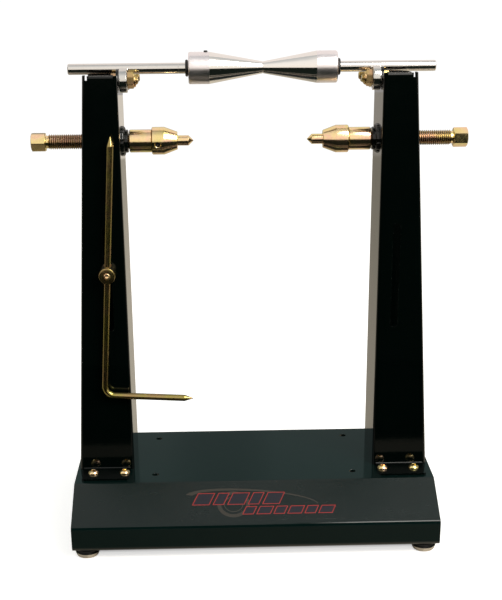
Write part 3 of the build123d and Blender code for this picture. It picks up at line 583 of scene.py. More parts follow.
def islands(node):
    """Boxes (lo, hi) in mm of the separate solids of a CAD node, ordered by centre."""
    me = NODES[node].data
    parent = list(range(len(me.vertices)))

    def find(i):
        while parent[i] != i:
            parent[i] = parent[parent[i]]
            i = parent[i]
        return i
    key = {}
    for v in me.vertices:
        k = (round(v.co.x * 2e5), round(v.co.y * 2e5), round(v.co.z * 2e5))
        if k in key:
            parent[find(v.index)] = find(key[k])
        else:
            key[k] = v.index
    for e in me.edges:
        a, b = find(e.vertices[0]), find(e.vertices[1])
        if a != b:
            parent[a] = b
    groups = {}
    for v in me.vertices:
        groups.setdefault(find(v.index), []).append(v.co)
    boxes = []
    for pts in groups.values():
        lo = Vector((min(p.x for p in pts), min(p.y for p in pts), min(p.z for p in pts))) / MM
        hi = Vector((max(p.x for p in pts), max(p.y for p in pts), max(p.z for p in pts))) / MM
        boxes.append((lo, hi))
    boxes.sort(key=lambda b: tuple(round(c, 1) for c in (b[0] + b[1])))
    return boxes


def corner_angle(node, ax, z0, z1, box=None):
    """Angle in ax of the farthest corner of a node's hexagon between z0 and z1."""
    best, found = -1, 0.0
    for v in NODES[node].data.vertices:
        p = Vector(v.co) / MM
        if box is not None and any(p[i] < box[0][i] - 0.1 or p[i] > box[1][i] + 0.1 for i in range(3)):
            continue
        d = p - ax.o
        z = d.dot(ax.z)
        if z0 <= z <= z1:
            x, y = d.dot(ax.x), d.dot(ax.y)
            r = math.hypot(x, y)
            if r > best + 1e-3:
                best, found = r, math.atan2(y, x)
    return found % (TAU / 6)


# ---------------------------------------------------------------------------
# Folded base
# ---------------------------------------------------------------------------
def arc_path(points, radius, steps):
    """Polyline with each inner corner replaced by an arc; returns the points."""
    return rounded([(p[0], p[1]) for p in points], radius, steps)


def build_base():
    lo, hi = mm_box("base_shell")
    half_w, ay = (hi.x - lo.x) / 2, hi.y
    cx = (hi.x + lo.x) / 2
    z0, z1, t = lo.z, hi.z, 2.0
    dy, az, ry = 68.5, z0 + 25.1, 84.0
    slope = math.atan2(z1 - az, ay - dy)
    in_d, in_a = t * math.tan(slope / 2), t * math.tan(math.pi / 4 - slope / 2)
    steps = 14
    outer = [(-ry, z0), (-ay, z0), (-ay, az), (-dy, z1), (dy, z1), (ay, az), (ay, z0), (ry, z0)]
    inner = [(-ry, z0 + t), (-ay + t, z0 + t), (-ay + t, az - in_a), (-dy + in_d, z1 - t),
             (dy - in_d, z1 - t), (ay - t, az - in_a), (ay - t, z0 + t), (ry, z0 + t)]
    po, pi = arc_path(outer, 5.0, steps), arc_path(inner, 3.0, steps)
    # rounded sheet ends: the two skins draw together over the last 0.45 mm
    e = 0.45
    ends = []
    for k in range(5):
        w = math.pi / 2 * k / 4
        ends.append((e * (1 - math.sin(w)), e * (1 - math.cos(w))))
    xs = [(-half_w + d, ins) for d, ins in ends]
    xs += [(-half_w + (2 * half_w) * k / 12, 0.0) for k in range(1, 12)]
    xs += [(half_w - d, ins) for d, ins in reversed(ends)]
    xs = [(x + cx, i) for x, i in xs]
    xs.sort(key=lambda s: s[0])
    b = Build()
    n = len(po)
    cols = []
    for x, ins in xs:
        o, i2 = [], []
        for (y1, q1), (y2, q2) in zip(po, pi):
            a, c = Vector((y1, q1)), Vector((y2, q2))
            d = (c - a).normalized() * ins
            p, q = a + d, c - d
            o.append(len(b.v))
            b.v.append(Vector((x, p.x, p.y)))
            i2.append(len(b.v))
            b.v.append(Vector((x, q.x, q.y)))
        cols.append((o, i2))
    for (o1, i1), (o2, i2) in zip(cols[:-1], cols[1:]):
        for k in range(n - 1):
            b.f.append((o1[k], o2[k], o2[k + 1], o1[k + 1]))
            b.f.append((i1[k], i1[k + 1], i2[k + 1], i2[k]))
        b.f.append((o1[0], i1[0], i2[0], o2[0]))
        b.f.append((o1[-1], o2[-1], i2[-1], i1[-1]))
    for o, i in (cols[0], cols[-1]):
        for k in range(n - 1):
            b.f.append((o[k], o[k + 1], i[k + 1], i[k]))
    b.m = [0] * len(b.f)
    ob = b.make("base_shell_folded", "base_shell", ["base_coat"], 40)
    holes = Build()

    def spool(x, y, r, top, bottom):
        prof = [(bottom - 1, 0), (bottom - 1, r + 1.25), (bottom, r + 0.25), (bottom + 0.25, r),
                (top - 0.25, r), (top, r + 0.25), (top + 1, r + 1.25), (top + 1, 0)]
        holes.grid(Axis((x, y, 0), (0, 0, 1)), prof, 36)
    pattern = next(m for m in RECORD["mounts"] if m["name"] == "deck_holes")
    hx, hy = pattern["dims"]["spacing_x_mm"] / 2, pattern["dims"]["spacing_y_mm"] / 2
    for sx in (-1, 1):
        for sy in (-1, 1):
            spool(sx * hx, sy * hy, pattern["dims"]["hole_r_mm"], z1, z1 - t)
    for blo, bhi in islands("foot_tab_screws"):
        c = (blo + bhi) / 2
        spool(c.x, c.y, 3.3, z1, z1 - t)
    for blo, bhi in islands("glide_weld_nuts"):
        c = (blo + bhi) / 2
        spool(c.x, c.y, 4.4, z0 + t, z0)
    cut(ob, holes, 40)
    flatten_normals(ob)
    return ob


# ---------------------------------------------------------------------------
# A CAD node taken over as a finer piece: welded, cleaned and with its sheet edges rounded
# ---------------------------------------------------------------------------
def refine(node, name, mat, width=0.35, angle=32.0, segments=2):
    src = NODES[node]
    me = src.data.copy()
    me.name = name
    ob = bpy.data.objects.new(name, me)
    bpy.context.scene.collection.objects.link(ob)
    if me.has_custom_normals:
        with bpy.context.temp_override(object=ob, active_object=ob, selected_objects=[ob]):
            bpy.ops.mesh.customdata_custom_splitnormals_clear()
    bm = bmesh.new()
    bm.from_mesh(me)
    bmesh.ops.remove_doubles(bm, verts=bm.verts, dist=2e-6)
    bmesh.ops.dissolve_limit(bm, angle_limit=math.radians(0.6), verts=bm.verts, edges=bm.edges)
    bmesh.ops.recalc_face_normals(bm, faces=bm.faces)
    bm.to_mesh(me)
    bm.free()
    me.materials.clear()
    me.materials.append(M[mat])
    if width:
        mod = ob.modifiers.new("edge", "BEVEL")
        mod.width = width * MM
        mod.segments = segments
        mod.limit_method = "ANGLE"
        mod.angle_limit = math.radians(angle)
        mod.use_clamp_overlap = True
        mod.harden_normals = False
        apply_modifiers(ob, 40)
    else:
        tidy(me, 32)
    flatten_normals(ob)
    place(ob, [node])
    return ob


def build_label():
    lo, hi = mm_box("front_label")
    # the slope's own direction from the base: it falls 26.5 mm over 48 mm
    n = Vector((0, -26.5, 48.0)).normalized()
    up = Vector((0, n.z, -n.y))
    w = hi.x - lo.x
    top = Vector(((lo.x + hi.x) / 2, (lo.y + hi.y) / 2, (lo.z + hi.z) / 2)) - n * 0.1
    ax = Axis(top, n, (1, 0, 0))
    h = 42.0
    b = Build()

    def panel(hw, hh, r, k=6):
        pts = []
        for cxs, cys, a0 in ((1, 1, 0), (-1, 1, 90), (-1, -1, 180), (1, -1, 270)):
            for i in range(k + 1):
                a = math.radians(a0 + 90 * i / k)
                pts.append((cxs * (hw - r) + r * math.cos(a), cys * (hh - r) + r * math.sin(a)))
        return pts
    # the panel, with a thinner rim
    base = [panel(w / 2 - d, h / 2 - d, 2.0 - d * 0.5) for d in (0.0, 0.0, 0.18)]
    s = len(b.v)
    m = len(base[0])
    for loop, z in zip(base, (0.0, 0.07, 0.15)):
        for x, y in loop:
            b.v.append(ax.at(x, y, z))
    for k in range(2):
        for i in range(m):
            j = (i + 1) % m
            b.f.append((s + k * m + i, s + k * m + j, s + (k + 1) * m + j, s + (k + 1) * m + i))
            b.m.append(0)
    b.f.append(tuple(s + i for i in range(m - 1, -1, -1)))
    b.f.append(tuple(s + 2 * m + i for i in range(m)))
    b.m += [0, 0]

    def slanted(x0, x1, y0, y1, lean=0.42):
        return [(x0 + y0 * lean, y0), (x1 + y0 * lean, y0), (x1 + y1 * lean, y1), (x0 + y1 * lean, y1)]

    def shrink(q, d, lean=0.42):
        k = math.sqrt(1 + lean * lean) * d
        return [(q[0][0] + k + d * lean, q[0][1] + d), (q[1][0] - k + d * lean, q[1][1] + d),
                (q[2][0] - k - d * lean, q[2][1] - d), (q[3][0] + k - d * lean, q[3][1] - d)]
    # upper row of slanted bars, then a lower and longer row moved to the right
    bars = []
    x = -62.0
    for wd in (17.0, 11.0, 17.0, 11.0, 17.0):
        bars.append(slanted(x, x + wd, -2.0, 12.5))
        x += wd + 3.2
    x = -8.0
    for wd in (11.0, 14.0, 11.0, 14.0, 11.0, 14.0):
        bars.append(slanted(x, x + wd, -14.0, -4.4))
        x += wd + 2.6
    for q in bars:
        b.prism(shrink(q, 0.75), ax, 0.14, 0.165, 3)
        b.ring_prism(q, shrink(q, 0.75), ax, 0.14, 0.185, 1)

    # a long low ellipse and a plain ring behind the bars, in a faint brown
    def ellipse(cx, cy, rx, ry, tilt, a0, a1, t0, t1, k=64):
        out, inn = [], []
        for i in range(k + 1):
            u = i / k
            a = math.radians(a0 + (a1 - a0) * u)
            tt = t0 + (t1 - t0) * u
            for lst, d in ((out, tt), (inn, 0.0)):
                px, py = (rx - d) * math.cos(a), (ry - d * 0.55) * math.sin(a)
                ct, st = math.cos(tilt), math.sin(tilt)
                lst.append((cx + px * ct - py * st, cy + px * st + py * ct))
        return out, inn
    out, inn = ellipse(-4.0, 2.5, 66.0, 14.0, -0.10, 8.0, 172.0, 1.4, 6.5)
    b.prism(inn + out[::-1], ax, 0.13, 0.155, 2)
    circ = lambda r: [(-22.0 + r * math.cos(TAU * i / 72), -1.5 + r * 0.98 * math.sin(TAU * i / 72)) for i in range(72)]
    b.ring_prism(circ(16.0), circ(12.2), ax, 0.13, 0.152, 2)
    b.ring_prism(circ(9.5), circ(8.6), ax, 0.13, 0.152, 2)
    ob = b.make("front_label_print", "front_label", ["label_panel", "label_red", "label_brown", "label_blue"], 25)
    return flatten_normals(ob)


# ---------------------------------------------------------------------------
# Turned and threaded parts
# ---------------------------------------------------------------------------
def build_shaft():
    lo, hi = mm_box("balance_shaft")
    c = (lo + hi) / 2
    length, r = hi.x - lo.x, (hi.y - lo.y) / 2
    ax = Axis((lo.x, c.y, c.z), (1, 0, 0))
    s = 102.7 - 0.2   # scribed line, from the left end
    prof = [(0, 0), (0, r - 0.8), (0.8, r), (s, r), (s + 0.12, r - 0.1), (s + 0.38, r - 0.1), (s + 0.5, r),
            (length - 0.8, r), (length, r - 0.8), (length, 0)]
    rows = [prof[0], *rounded(prof[0:3] + [(1.6, r)], 0.25)[1:-1]]
    rows += [(6.0, r), (s, r), (s + 0.12, r - 0.1), (s + 0.38, r - 0.1), (s + 0.5, r), (length / 2, r)]
    tail = rounded([(length - 1.6, r), (length - 0.8, r), (length, r - 0.8), (length, 0)], 0.25)
    rows += tail[1:]
    b = Build()
    b.grid(ax, rows, 96)
    return b.make("balance_shaft_ground", "balance_shaft", ["ground_steel"])


def build_cone(side):
    node, screw = f"cone_{side}", f"cone_screw_{side}"
    lo, hi = mm_box(node)
    sg = 1 if side == "left" else -1
    x0 = lo.x if sg > 0 else hi.x
    slo, shi = mm_box("balance_shaft")
    zc = (slo.z + shi.z) / 2
    clo, chi = mm_box(screw)
    sc = (clo + chi) / 2
    out = Vector((0, sc.y, sc.z - zc)).normalized()
    ax = Axis((x0, 0, zc), (sg, 0, 0), out)
    R, cyl, length, bore = 14.5, 19.5, hi.x - lo.x, 5.03
    tip = 5.45
    prof = [(0.0, bore, 0.0), (0.0, R - 1.1, 0.2), (1.0, R, 0.3), (cyl, R, 0.12), (cyl + 0.25, R - 0.12, 0.0),
            (length - 0.25, tip + 0.03, 0.2), (length, tip - 0.2, 0.0), (length, bore, 0.0)]
    pts = rounded(prof, 0.15, 4, close=True)
    # extra rings keep the long taper and the parallel part smooth
    rows = []
    for p, q in zip(pts, pts[1:] + pts[:1]):
        rows.append(p)
        span = abs(q[0] - p[0])
        if span > 6 and p[1] > bore + 0.2:
            for k in range(1, 5):
                rows.append((p[0] + (q[0] - p[0]) * k / 5, p[1] + (q[1] - p[1]) * k / 5))
    b = Build()
    b.grid(ax, rows, 120, close=True)
    ob = b.make(f"{node}_turned", node, ["turned_aluminium", "satin_aluminium"])
    for poly in ob.data.polygons:
        z = (poly.center / MM - ax.o).dot(ax.z)
        r = ((poly.center / MM - ax.o) - ax.z * z).length
        if z < cyl + 0.05 and r > bore + 0.3:
            poly.material_index = 1
    hole = Build()
    hax = Axis(Vector((sc.x, 0, zc)), out)
    hole.grid(hax, [(6.0, 0), (6.0, 2.06), (R - 0.75, 2.06), (R - 0.1, 2.7), (R + 2, 4.6), (R + 2, 0)], 40)
    cut(ob, hole)
    return ob


def build_set_screw(node, centre_line, out, r, inner_r, length, af, depth, pitch):
    """centre_line: point on the parent's axis; out: direction of the screw; inner_r: where it starts."""
    ax = Axis(centre_line, out)
    z0, z1 = inner_r, inner_r + length
    rows = [(z0, 0), (z0, r * 0.55), (z0 + 0.35, r - 0.35)]
    rows += thread_rows(z0 + 0.4, z1 - 0.4, r - 0.02, 0.28, pitch, 0.3, 0.3, 6)
    rows += rounded([(z1 - 0.4, r - 0.3), (z1 - 0.1, r - 0.38), (z1, r - 0.6), (z1, af / 2 + 0.25)], 0.06)[1:]
    h = hexagon(af, 0, 0.02)
    rows += [(z1, lambda a: h(a) + 0.12), (z1 - 0.12, h), (z1 - depth, h), (z1 - depth - 0.5, 0)]
    b = Build()
    b.grid(ax, rows, 48)
    return b.make(f"{node}_socket", node, ["black_oxide"], 30)


def build_oring(node):
    lo, hi = mm_box(node)
    c = (lo + hi) / 2
    cs, R = hi.x - lo.x, (hi.y - lo.y) / 2
    ax = Axis(c, (1, 0, 0))
    rows = []
    k = 28
    for i in range(k):
        a = TAU * i / k
        # a slight moulding flash on the outer equator
        flash = 0.05 if i == 0 else 0.0
        rr = R - 0.05 - cs / 2 + (cs / 2 - 0.02 + flash) * math.cos(a)
        rows.append((cs / 2 * math.sin(a), rr))
    b = Build()
    b.grid(ax, rows, 96, close=True)
    return b.make(f"{node}_ring", node, ["rubber"], 60)


def build_bearing(corner):
    node, shields = f"bearing_ring_{corner}", f"bearing_shields_{corner}"
    lo, hi = mm_box(node)
    c = (lo + hi) / 2
    ax = Axis(c, (1, 0, 0))
    R, w = (hi.y - lo.y) / 2, (hi.x - lo.x) / 2
    prof = [(-w, 9.5, 0.0), (-w, R - 0.3, 0.12), (-w + 0.3, R, 0.2), (w - 0.3, R, 0.2), (w, R - 0.3, 0.12), (w, 9.5, 0.08),
            (2.7, 9.5, 0.05), (2.7, 8.8, 0.05), (1.9, 8.8, 0.05), (1.4, 9.15, 0.0), (0.7, 9.46, 0.0), (0.0, 9.56, 0.0),
            (-0.7, 9.46, 0.0), (-1.4, 9.15, 0.0), (-1.9, 8.8, 0.05), (-2.7, 8.8, 0.05), (-2.7, 9.5, 0.05)]
    rows = [(z, r) for z, r in rounded(prof, 0.1, 3, close=True)]
    b = Build()
    b.grid(ax, rows, 96, close=True)
    ring = b.make(f"{node}_ground", node, ["bearing_steel"], 30)
    # pressed shields: a crimped outer lip, a shallow dish and a turned-in inner edge
    s = Build()
    for sg in (-1, 1):
        prof = [(2.76, 9.42), (3.14, 9.42), (3.14, 9.05), (3.02, 8.8), (3.02, 7.6), (3.12, 7.35), (3.13, 6.6), (2.98, 6.28),
                (2.78, 6.26), (2.86, 6.6), (2.86, 7.3), (2.77, 7.6), (2.77, 8.8)]
        rows = [(sg * z, r) for z, r in rounded([(*p, 0.08) for p in prof], 0.08, 3, close=True)]
        s.grid(ax, rows, 96, close=True)
    s.make(f"{shields}_pressed", shields, ["bearing_shield"], 35)
    return ring


def x_frames(node, inward):
    """Axes of the solids of a node, which lie along X, starting at the far end and pointing inward or outward."""
    found = []
    for lo, hi in islands(node):
        c = (lo + hi) / 2
        sg = 1 if c.x > 0 else -1
        start = (hi.x if sg > 0 else lo.x) if inward else (lo.x if sg > 0 else hi.x)
        found.append((Axis((start, c.y, c.z), (-sg if inward else sg, 0, 0)), lo, hi))
    return found


def build_bearing_bolts():
    b = Build()
    for ax, lo, hi in x_frames("bearing_bolts", True):
        # from the head inwards
        total = hi.x - lo.x
        ph = corner_angle("bearing_bolts", ax, 0.05, 5.25, (lo, hi))
        rows = [(0.25, 0), (0.25, 3.6), (0.05, 4.1), (0.05, 6.1)]
        rows += hex_rows(13.0, 0.05, 5.3, ph, 6.15, None)[1:]
        rows += [(5.3, 4.3), (5.3, 4.02), (5.6, 3.96), (total - 12.5, 3.96)]
        rows += thread_rows(total - 12.0, total - 0.9, 3.98, 0.62, 1.25, 0.6, 0.5, 8)
        rows += rounded([(total - 0.9, 3.3), (total - 0.25, 2.9), (total, 2.3), (total, 0)], 0.3)[1:]
        b.grid(ax, rows, 72)
    return b.make("bearing_bolts_hex", "bearing_bolts", ["yellow_zinc_nut"], 30)


def build_lock_nuts():
    b, rings = Build(), Build()
    for ax, lo, hi in x_frames("bearing_lock_nuts", True):
        ph = corner_angle("bearing_lock_nuts", ax, 0.05, 6.1, (lo, hi))
        hx = hexagon(13.0, ph)
        rows = [(0.35, 4.05), (0.0, 4.5), (0.0, 6.15)]
        rows += [(lambda a: 0.0 + max(0.02, (hx(a) - 6.15) * 0.577), hx),
                 (lambda a: 6.2 - max(0.02, (hx(a) - 6.2) * 0.577), hx), (6.2, 6.2), (6.28, 6.1)]
        rows += rounded([(6.3, 6.08), (7.0, 6.08, 0.4), (8.0, 5.5, 0.35), (7.9, 5.22, 0.08), (7.4, 5.2)], 0.3, 4)[1:]
        rows += [(5.8, 5.2), (5.8, 4.05)]
        b.grid(ax, rows, 72, close=True)
    nuts = b.make("bearing_lock_nuts_hex", "bearing_lock_nuts", ["yellow_zinc_nut"], 30)
    for ax, lo, hi in x_frames("lock_nut_rings", True):
        w = hi.x - lo.x
        rows = rounded([(0.0, 4.03), (0.0, 5.13), (w, 5.13), (w, 4.6), (w - 0.35, 4.03)], 0.18, 3, close=True)
        rings.grid(ax, rows, 64, close=True)
    rings.make("lock_nut_rings_nylon", "lock_nut_rings", ["nylon"], 40)
    return nuts


def build_tab_screws():
    b = Build()
    for k, (lo, hi) in enumerate(islands("foot_tab_screws")):
        c = (lo + hi) / 2
        turn = 0.35 * k
        ax = Axis((c.x, c.y, hi.z - 3.3), (0, 0, 1))
        h = hexagon(4.0, turn, 0.03)
        rows = [(0.0, 0), (0.0, 4.9)]
        dome = [(0.0, 4.9, 0.0), (0.05, 5.2, 0.1), (0.5, 5.22, 0.15), (1.2, 4.98, 0.6), (2.1, 4.40, 0.8), (2.8, 3.6, 0.7), (3.22, 2.75, 0.2)]
        shank = (lo.z - (hi.z - 3.3))
        rows = [(shank, 0), (shank, 2.0), (shank + 0.5, 2.6)]
        rows += thread_rows(shank + 0.6, -1.2, 2.94, 0.45, 1.0, 0.4, 0.4, 7)
        rows += [(-0.9, 2.8), (0.0, 2.85)]
        rows += rounded(dome, 0.3, 3)
        rows += [(3.22, lambda a: h(a) + 0.22), (3.05, h), (1.25, h), (0.75, 0)]
        b.grid(ax, rows, 60)
    return b.make("foot_tab_screws_button", "foot_tab_screws", ["yellow_zinc"], 33)


def build_foot_nuts():
    b = Build()
    for k, (lo, hi) in enumerate(islands("foot_tab_nuts")):
        c = (lo + hi) / 2
        ax = Axis((c.x, c.y, hi.z), (0, 0, -1))
        hx = hexagon(10.0, 0.5 * k)
        ht = hi.z - lo.z
        rows = [(0.3, 3.02), (0.0, 3.4), (0.0, 6.5), (0.35, 6.88), (0.85, 6.85), (1.4, 6.1), (1.7, lambda a: hx(a)),
                (lambda a: ht - max(0.02, (hx(a) - 4.75) * 0.577), hx), (ht, 4.75), (ht, 3.4), (ht - 0.3, 3.02)]
        b.grid(ax, rows, 60, close=True)
    return b.make("foot_tab_nuts_flange", "foot_tab_nuts", ["yellow_zinc"], 30)


def build_bosses():
    b = Build()
    welds = Build()
    for lo, hi in islands("threaded_bosses"):
        c = (lo + hi) / 2
        sg = 1 if c.x > 0 else -1
        inner = lo.x if sg > 0 else hi.x
        ax = Axis((inner, c.y, c.z), (sg, 0, 0))
        L, R = hi.x - lo.x, (hi.y - lo.y) / 2
        rows = [(0.6, 7.05), (0.0, 7.6)]
        rows += rounded([(0.0, 7.6), (0.0, R - 0.8), (0.8, R), (L, R)], 0.2)[1:-1]
        rows += [(L - 0.4, R), (L, R - 0.4), (L, 7.6), (L - 0.6, 7.05)]
        b.grid(ax, rows, 84, close=True)
    b.make("threaded_bosses_turned", "threaded_bosses", ["black_powder_coat"], 35)
    for k, (lo, hi) in enumerate(islands("boss_welds")):
        c = (lo + hi) / 2
        sg = 1 if c.x > 0 else -1
        web = hi.x if sg > 0 else lo.x
        ax = Axis((web, c.y, c.z), (-sg, 0, 0))
        ri, ro, hz = 10.74, (hi.y - lo.y) / 2, hi.x - lo.x

        def bead(a, seed=k):
            # overlapping ripples of a hand-laid bead, with uneven lumps
            w = 0.5 + 0.5 * math.sin(a * 17 + 1.3 * math.sin(3 * a + seed) + seed)
            n = noise.noise(Vector((3.1 * math.cos(a) + 7 * seed, 3.1 * math.sin(a), seed * 2.3)))
            return max(0.55, min(1.0, 0.80 + 0.12 * w + 0.22 * n))
        rows = [(0.02, ri)]
        rows.append((0.02, lambda a: ri + (ro - ri) * bead(a)))
        for t in range(1, 8):
            u = t / 8 * math.pi / 2

            def rr(a, u=u):
                return ri + (ro - ri) * bead(a) * (math.cos(u) ** 0.75)

            def zz(a, u=u):
                rip = 1 + 0.05 * math.sin(a * 34 + u * 2)
                return 0.02 + (hz - 0.3) * bead(a + 0.12) * (math.sin(u) ** 0.85) * rip * 0.92
            rows.append((zz, rr))
        rows.append((lambda a: 0.02 + (hz - 0.3) * bead(a + 0.12) * 0.93, ri))
        welds.grid(ax, rows, 168, close=True)
    return welds.make("boss_welds_bead", "boss_welds", ["weld"], 60)


def build_adjuster(side):
    sp, sl, cn, sc = (f"adjuster_{k}_{side}" for k in ("spindle", "sleeve", "cone", "screw"))
    lo, hi = mm_box(sp)
    sg = -1 if side == "left" else 1
    tip = hi.x if sg < 0 else lo.x
    zc = (mm_box(sl)[0].z + mm_box(sl)[1].z) / 2
    total = hi.x - lo.x
    ax = Axis((tip, 0, zc), (sg, 0, 0))
    hexlen = 13.8
    ph = corner_angle(sp, ax, total - 14.5, total + 0.1)
    r = 4.75
    rows = [(0, 0)]
    rows += rounded([(0.02, 0.05), (0.02, 0.3), (4.6, r), (8, r)], 0.35, 4)[1:-1]
    rows += [(6.5, r), (10.0, r), (15.1, r), (15.35, r - 0.25), (15.9, r - 0.25), (16.15, r), (39.2, r)]
    thread = thread_rows(39.25, total - hexlen - 2.4, 6.985, 1.18, 2.0, 1.0, 0.9, 9)
    rows += thread
    z0 = total - hexlen
    rows += [(z0 - 2.3, 5.9), (z0 - 1.9, 5.86), (z0 - 0.35, 5.86), (z0 - 0.02, 6.2)]
    h = hexagon(16.0, ph)
    rows += [(z0, 7.8), (lambda a: z0 + max(0.02, (h(a) - 7.8) * 0.5), h),
             (lambda a: total - max(0.05, (h(a) - 7.3) * 0.55), h), (total - 0.06, 7.3), (total, 7.1), (total, 1.9),
             (total - 0.9, 0.9), (total - 1.6, 0)]
    b = Build()
    b.grid(ax, rows, 72)
    ob = b.make(f"{sp}_threaded", sp, ["yellow_zinc_x", "yellow_zinc_thread"], 28)
    for poly in ob.data.polygons:
        z = (poly.center / MM - ax.o).dot(ax.z)
        if 39.3 < z < total - hexlen - 2.35:
            poly.material_index = 1

    lo, hi = mm_box(sl)
    inner = hi.x if sg < 0 else lo.x
    L, R = hi.x - lo.x, (hi.y - lo.y) / 2
    ax = Axis((inner, 0, zc), (sg, 0, 0))
    prof = [(0.0, 7.03, 0.0), (0.0, R - 0.6, 0.15), (0.6, R, 0.25), (L - 0.6, R, 0.25), (L, R - 0.6, 0.15), (L, 7.03, 0.0)]
    b = Build()
    pts = rounded(prof, 0.15, 4, close=True)
    b.grid(ax, pts, 108, close=True)
    b.make(f"{sl}_turned", sl, ["yellow_zinc_x"], 30)

    lo, hi = mm_box(cn)
    outer = lo.x if sg < 0 else hi.x      # shoulder side
    L, R = hi.x - lo.x, (hi.z - lo.z) / 2
    R = max(R, (hi.y - lo.y) / 2)
    ax = Axis((outer, 0, zc), (-sg, 0, 0))
    nose = 8.25
    prof = [(0.0, 4.79, 0.0), (0.0, R - 0.7, 0.12), (0.7, R, 0.25), (11.8, R, 0.2), (L - 0.3, nose + 0.06, 0.15), (L, nose - 0.25, 0.1),
            (L, 5.4, 0.08), (L - 0.5, 4.79, 0.0)]
    b = Build()
    b.grid(ax, rounded(prof, 0.15, 4, close=True), 120, close=True)
    ob = b.make(f"{cn}_turned", cn, ["yellow_zinc_x"], 30)
    slo, shi = mm_box(sc)
    s = (slo + shi) / 2
    out = Vector((0, s.y, s.z - zc)).normalized()
    hole = Build()
    hole.grid(Axis((s.x, 0, zc), out), [(7.0, 0), (7.0, 2.56), (R - 0.6, 2.56), (R - 0.05, 3.1), (R + 2, 5.1), (R + 2, 0)], 40)
    cut(ob, hole, 30)
    build_set_screw(sc, Vector((s.x, 0, zc)), out, 2.5, 4.78, 6.4, 2.5, 2.4, 0.8)


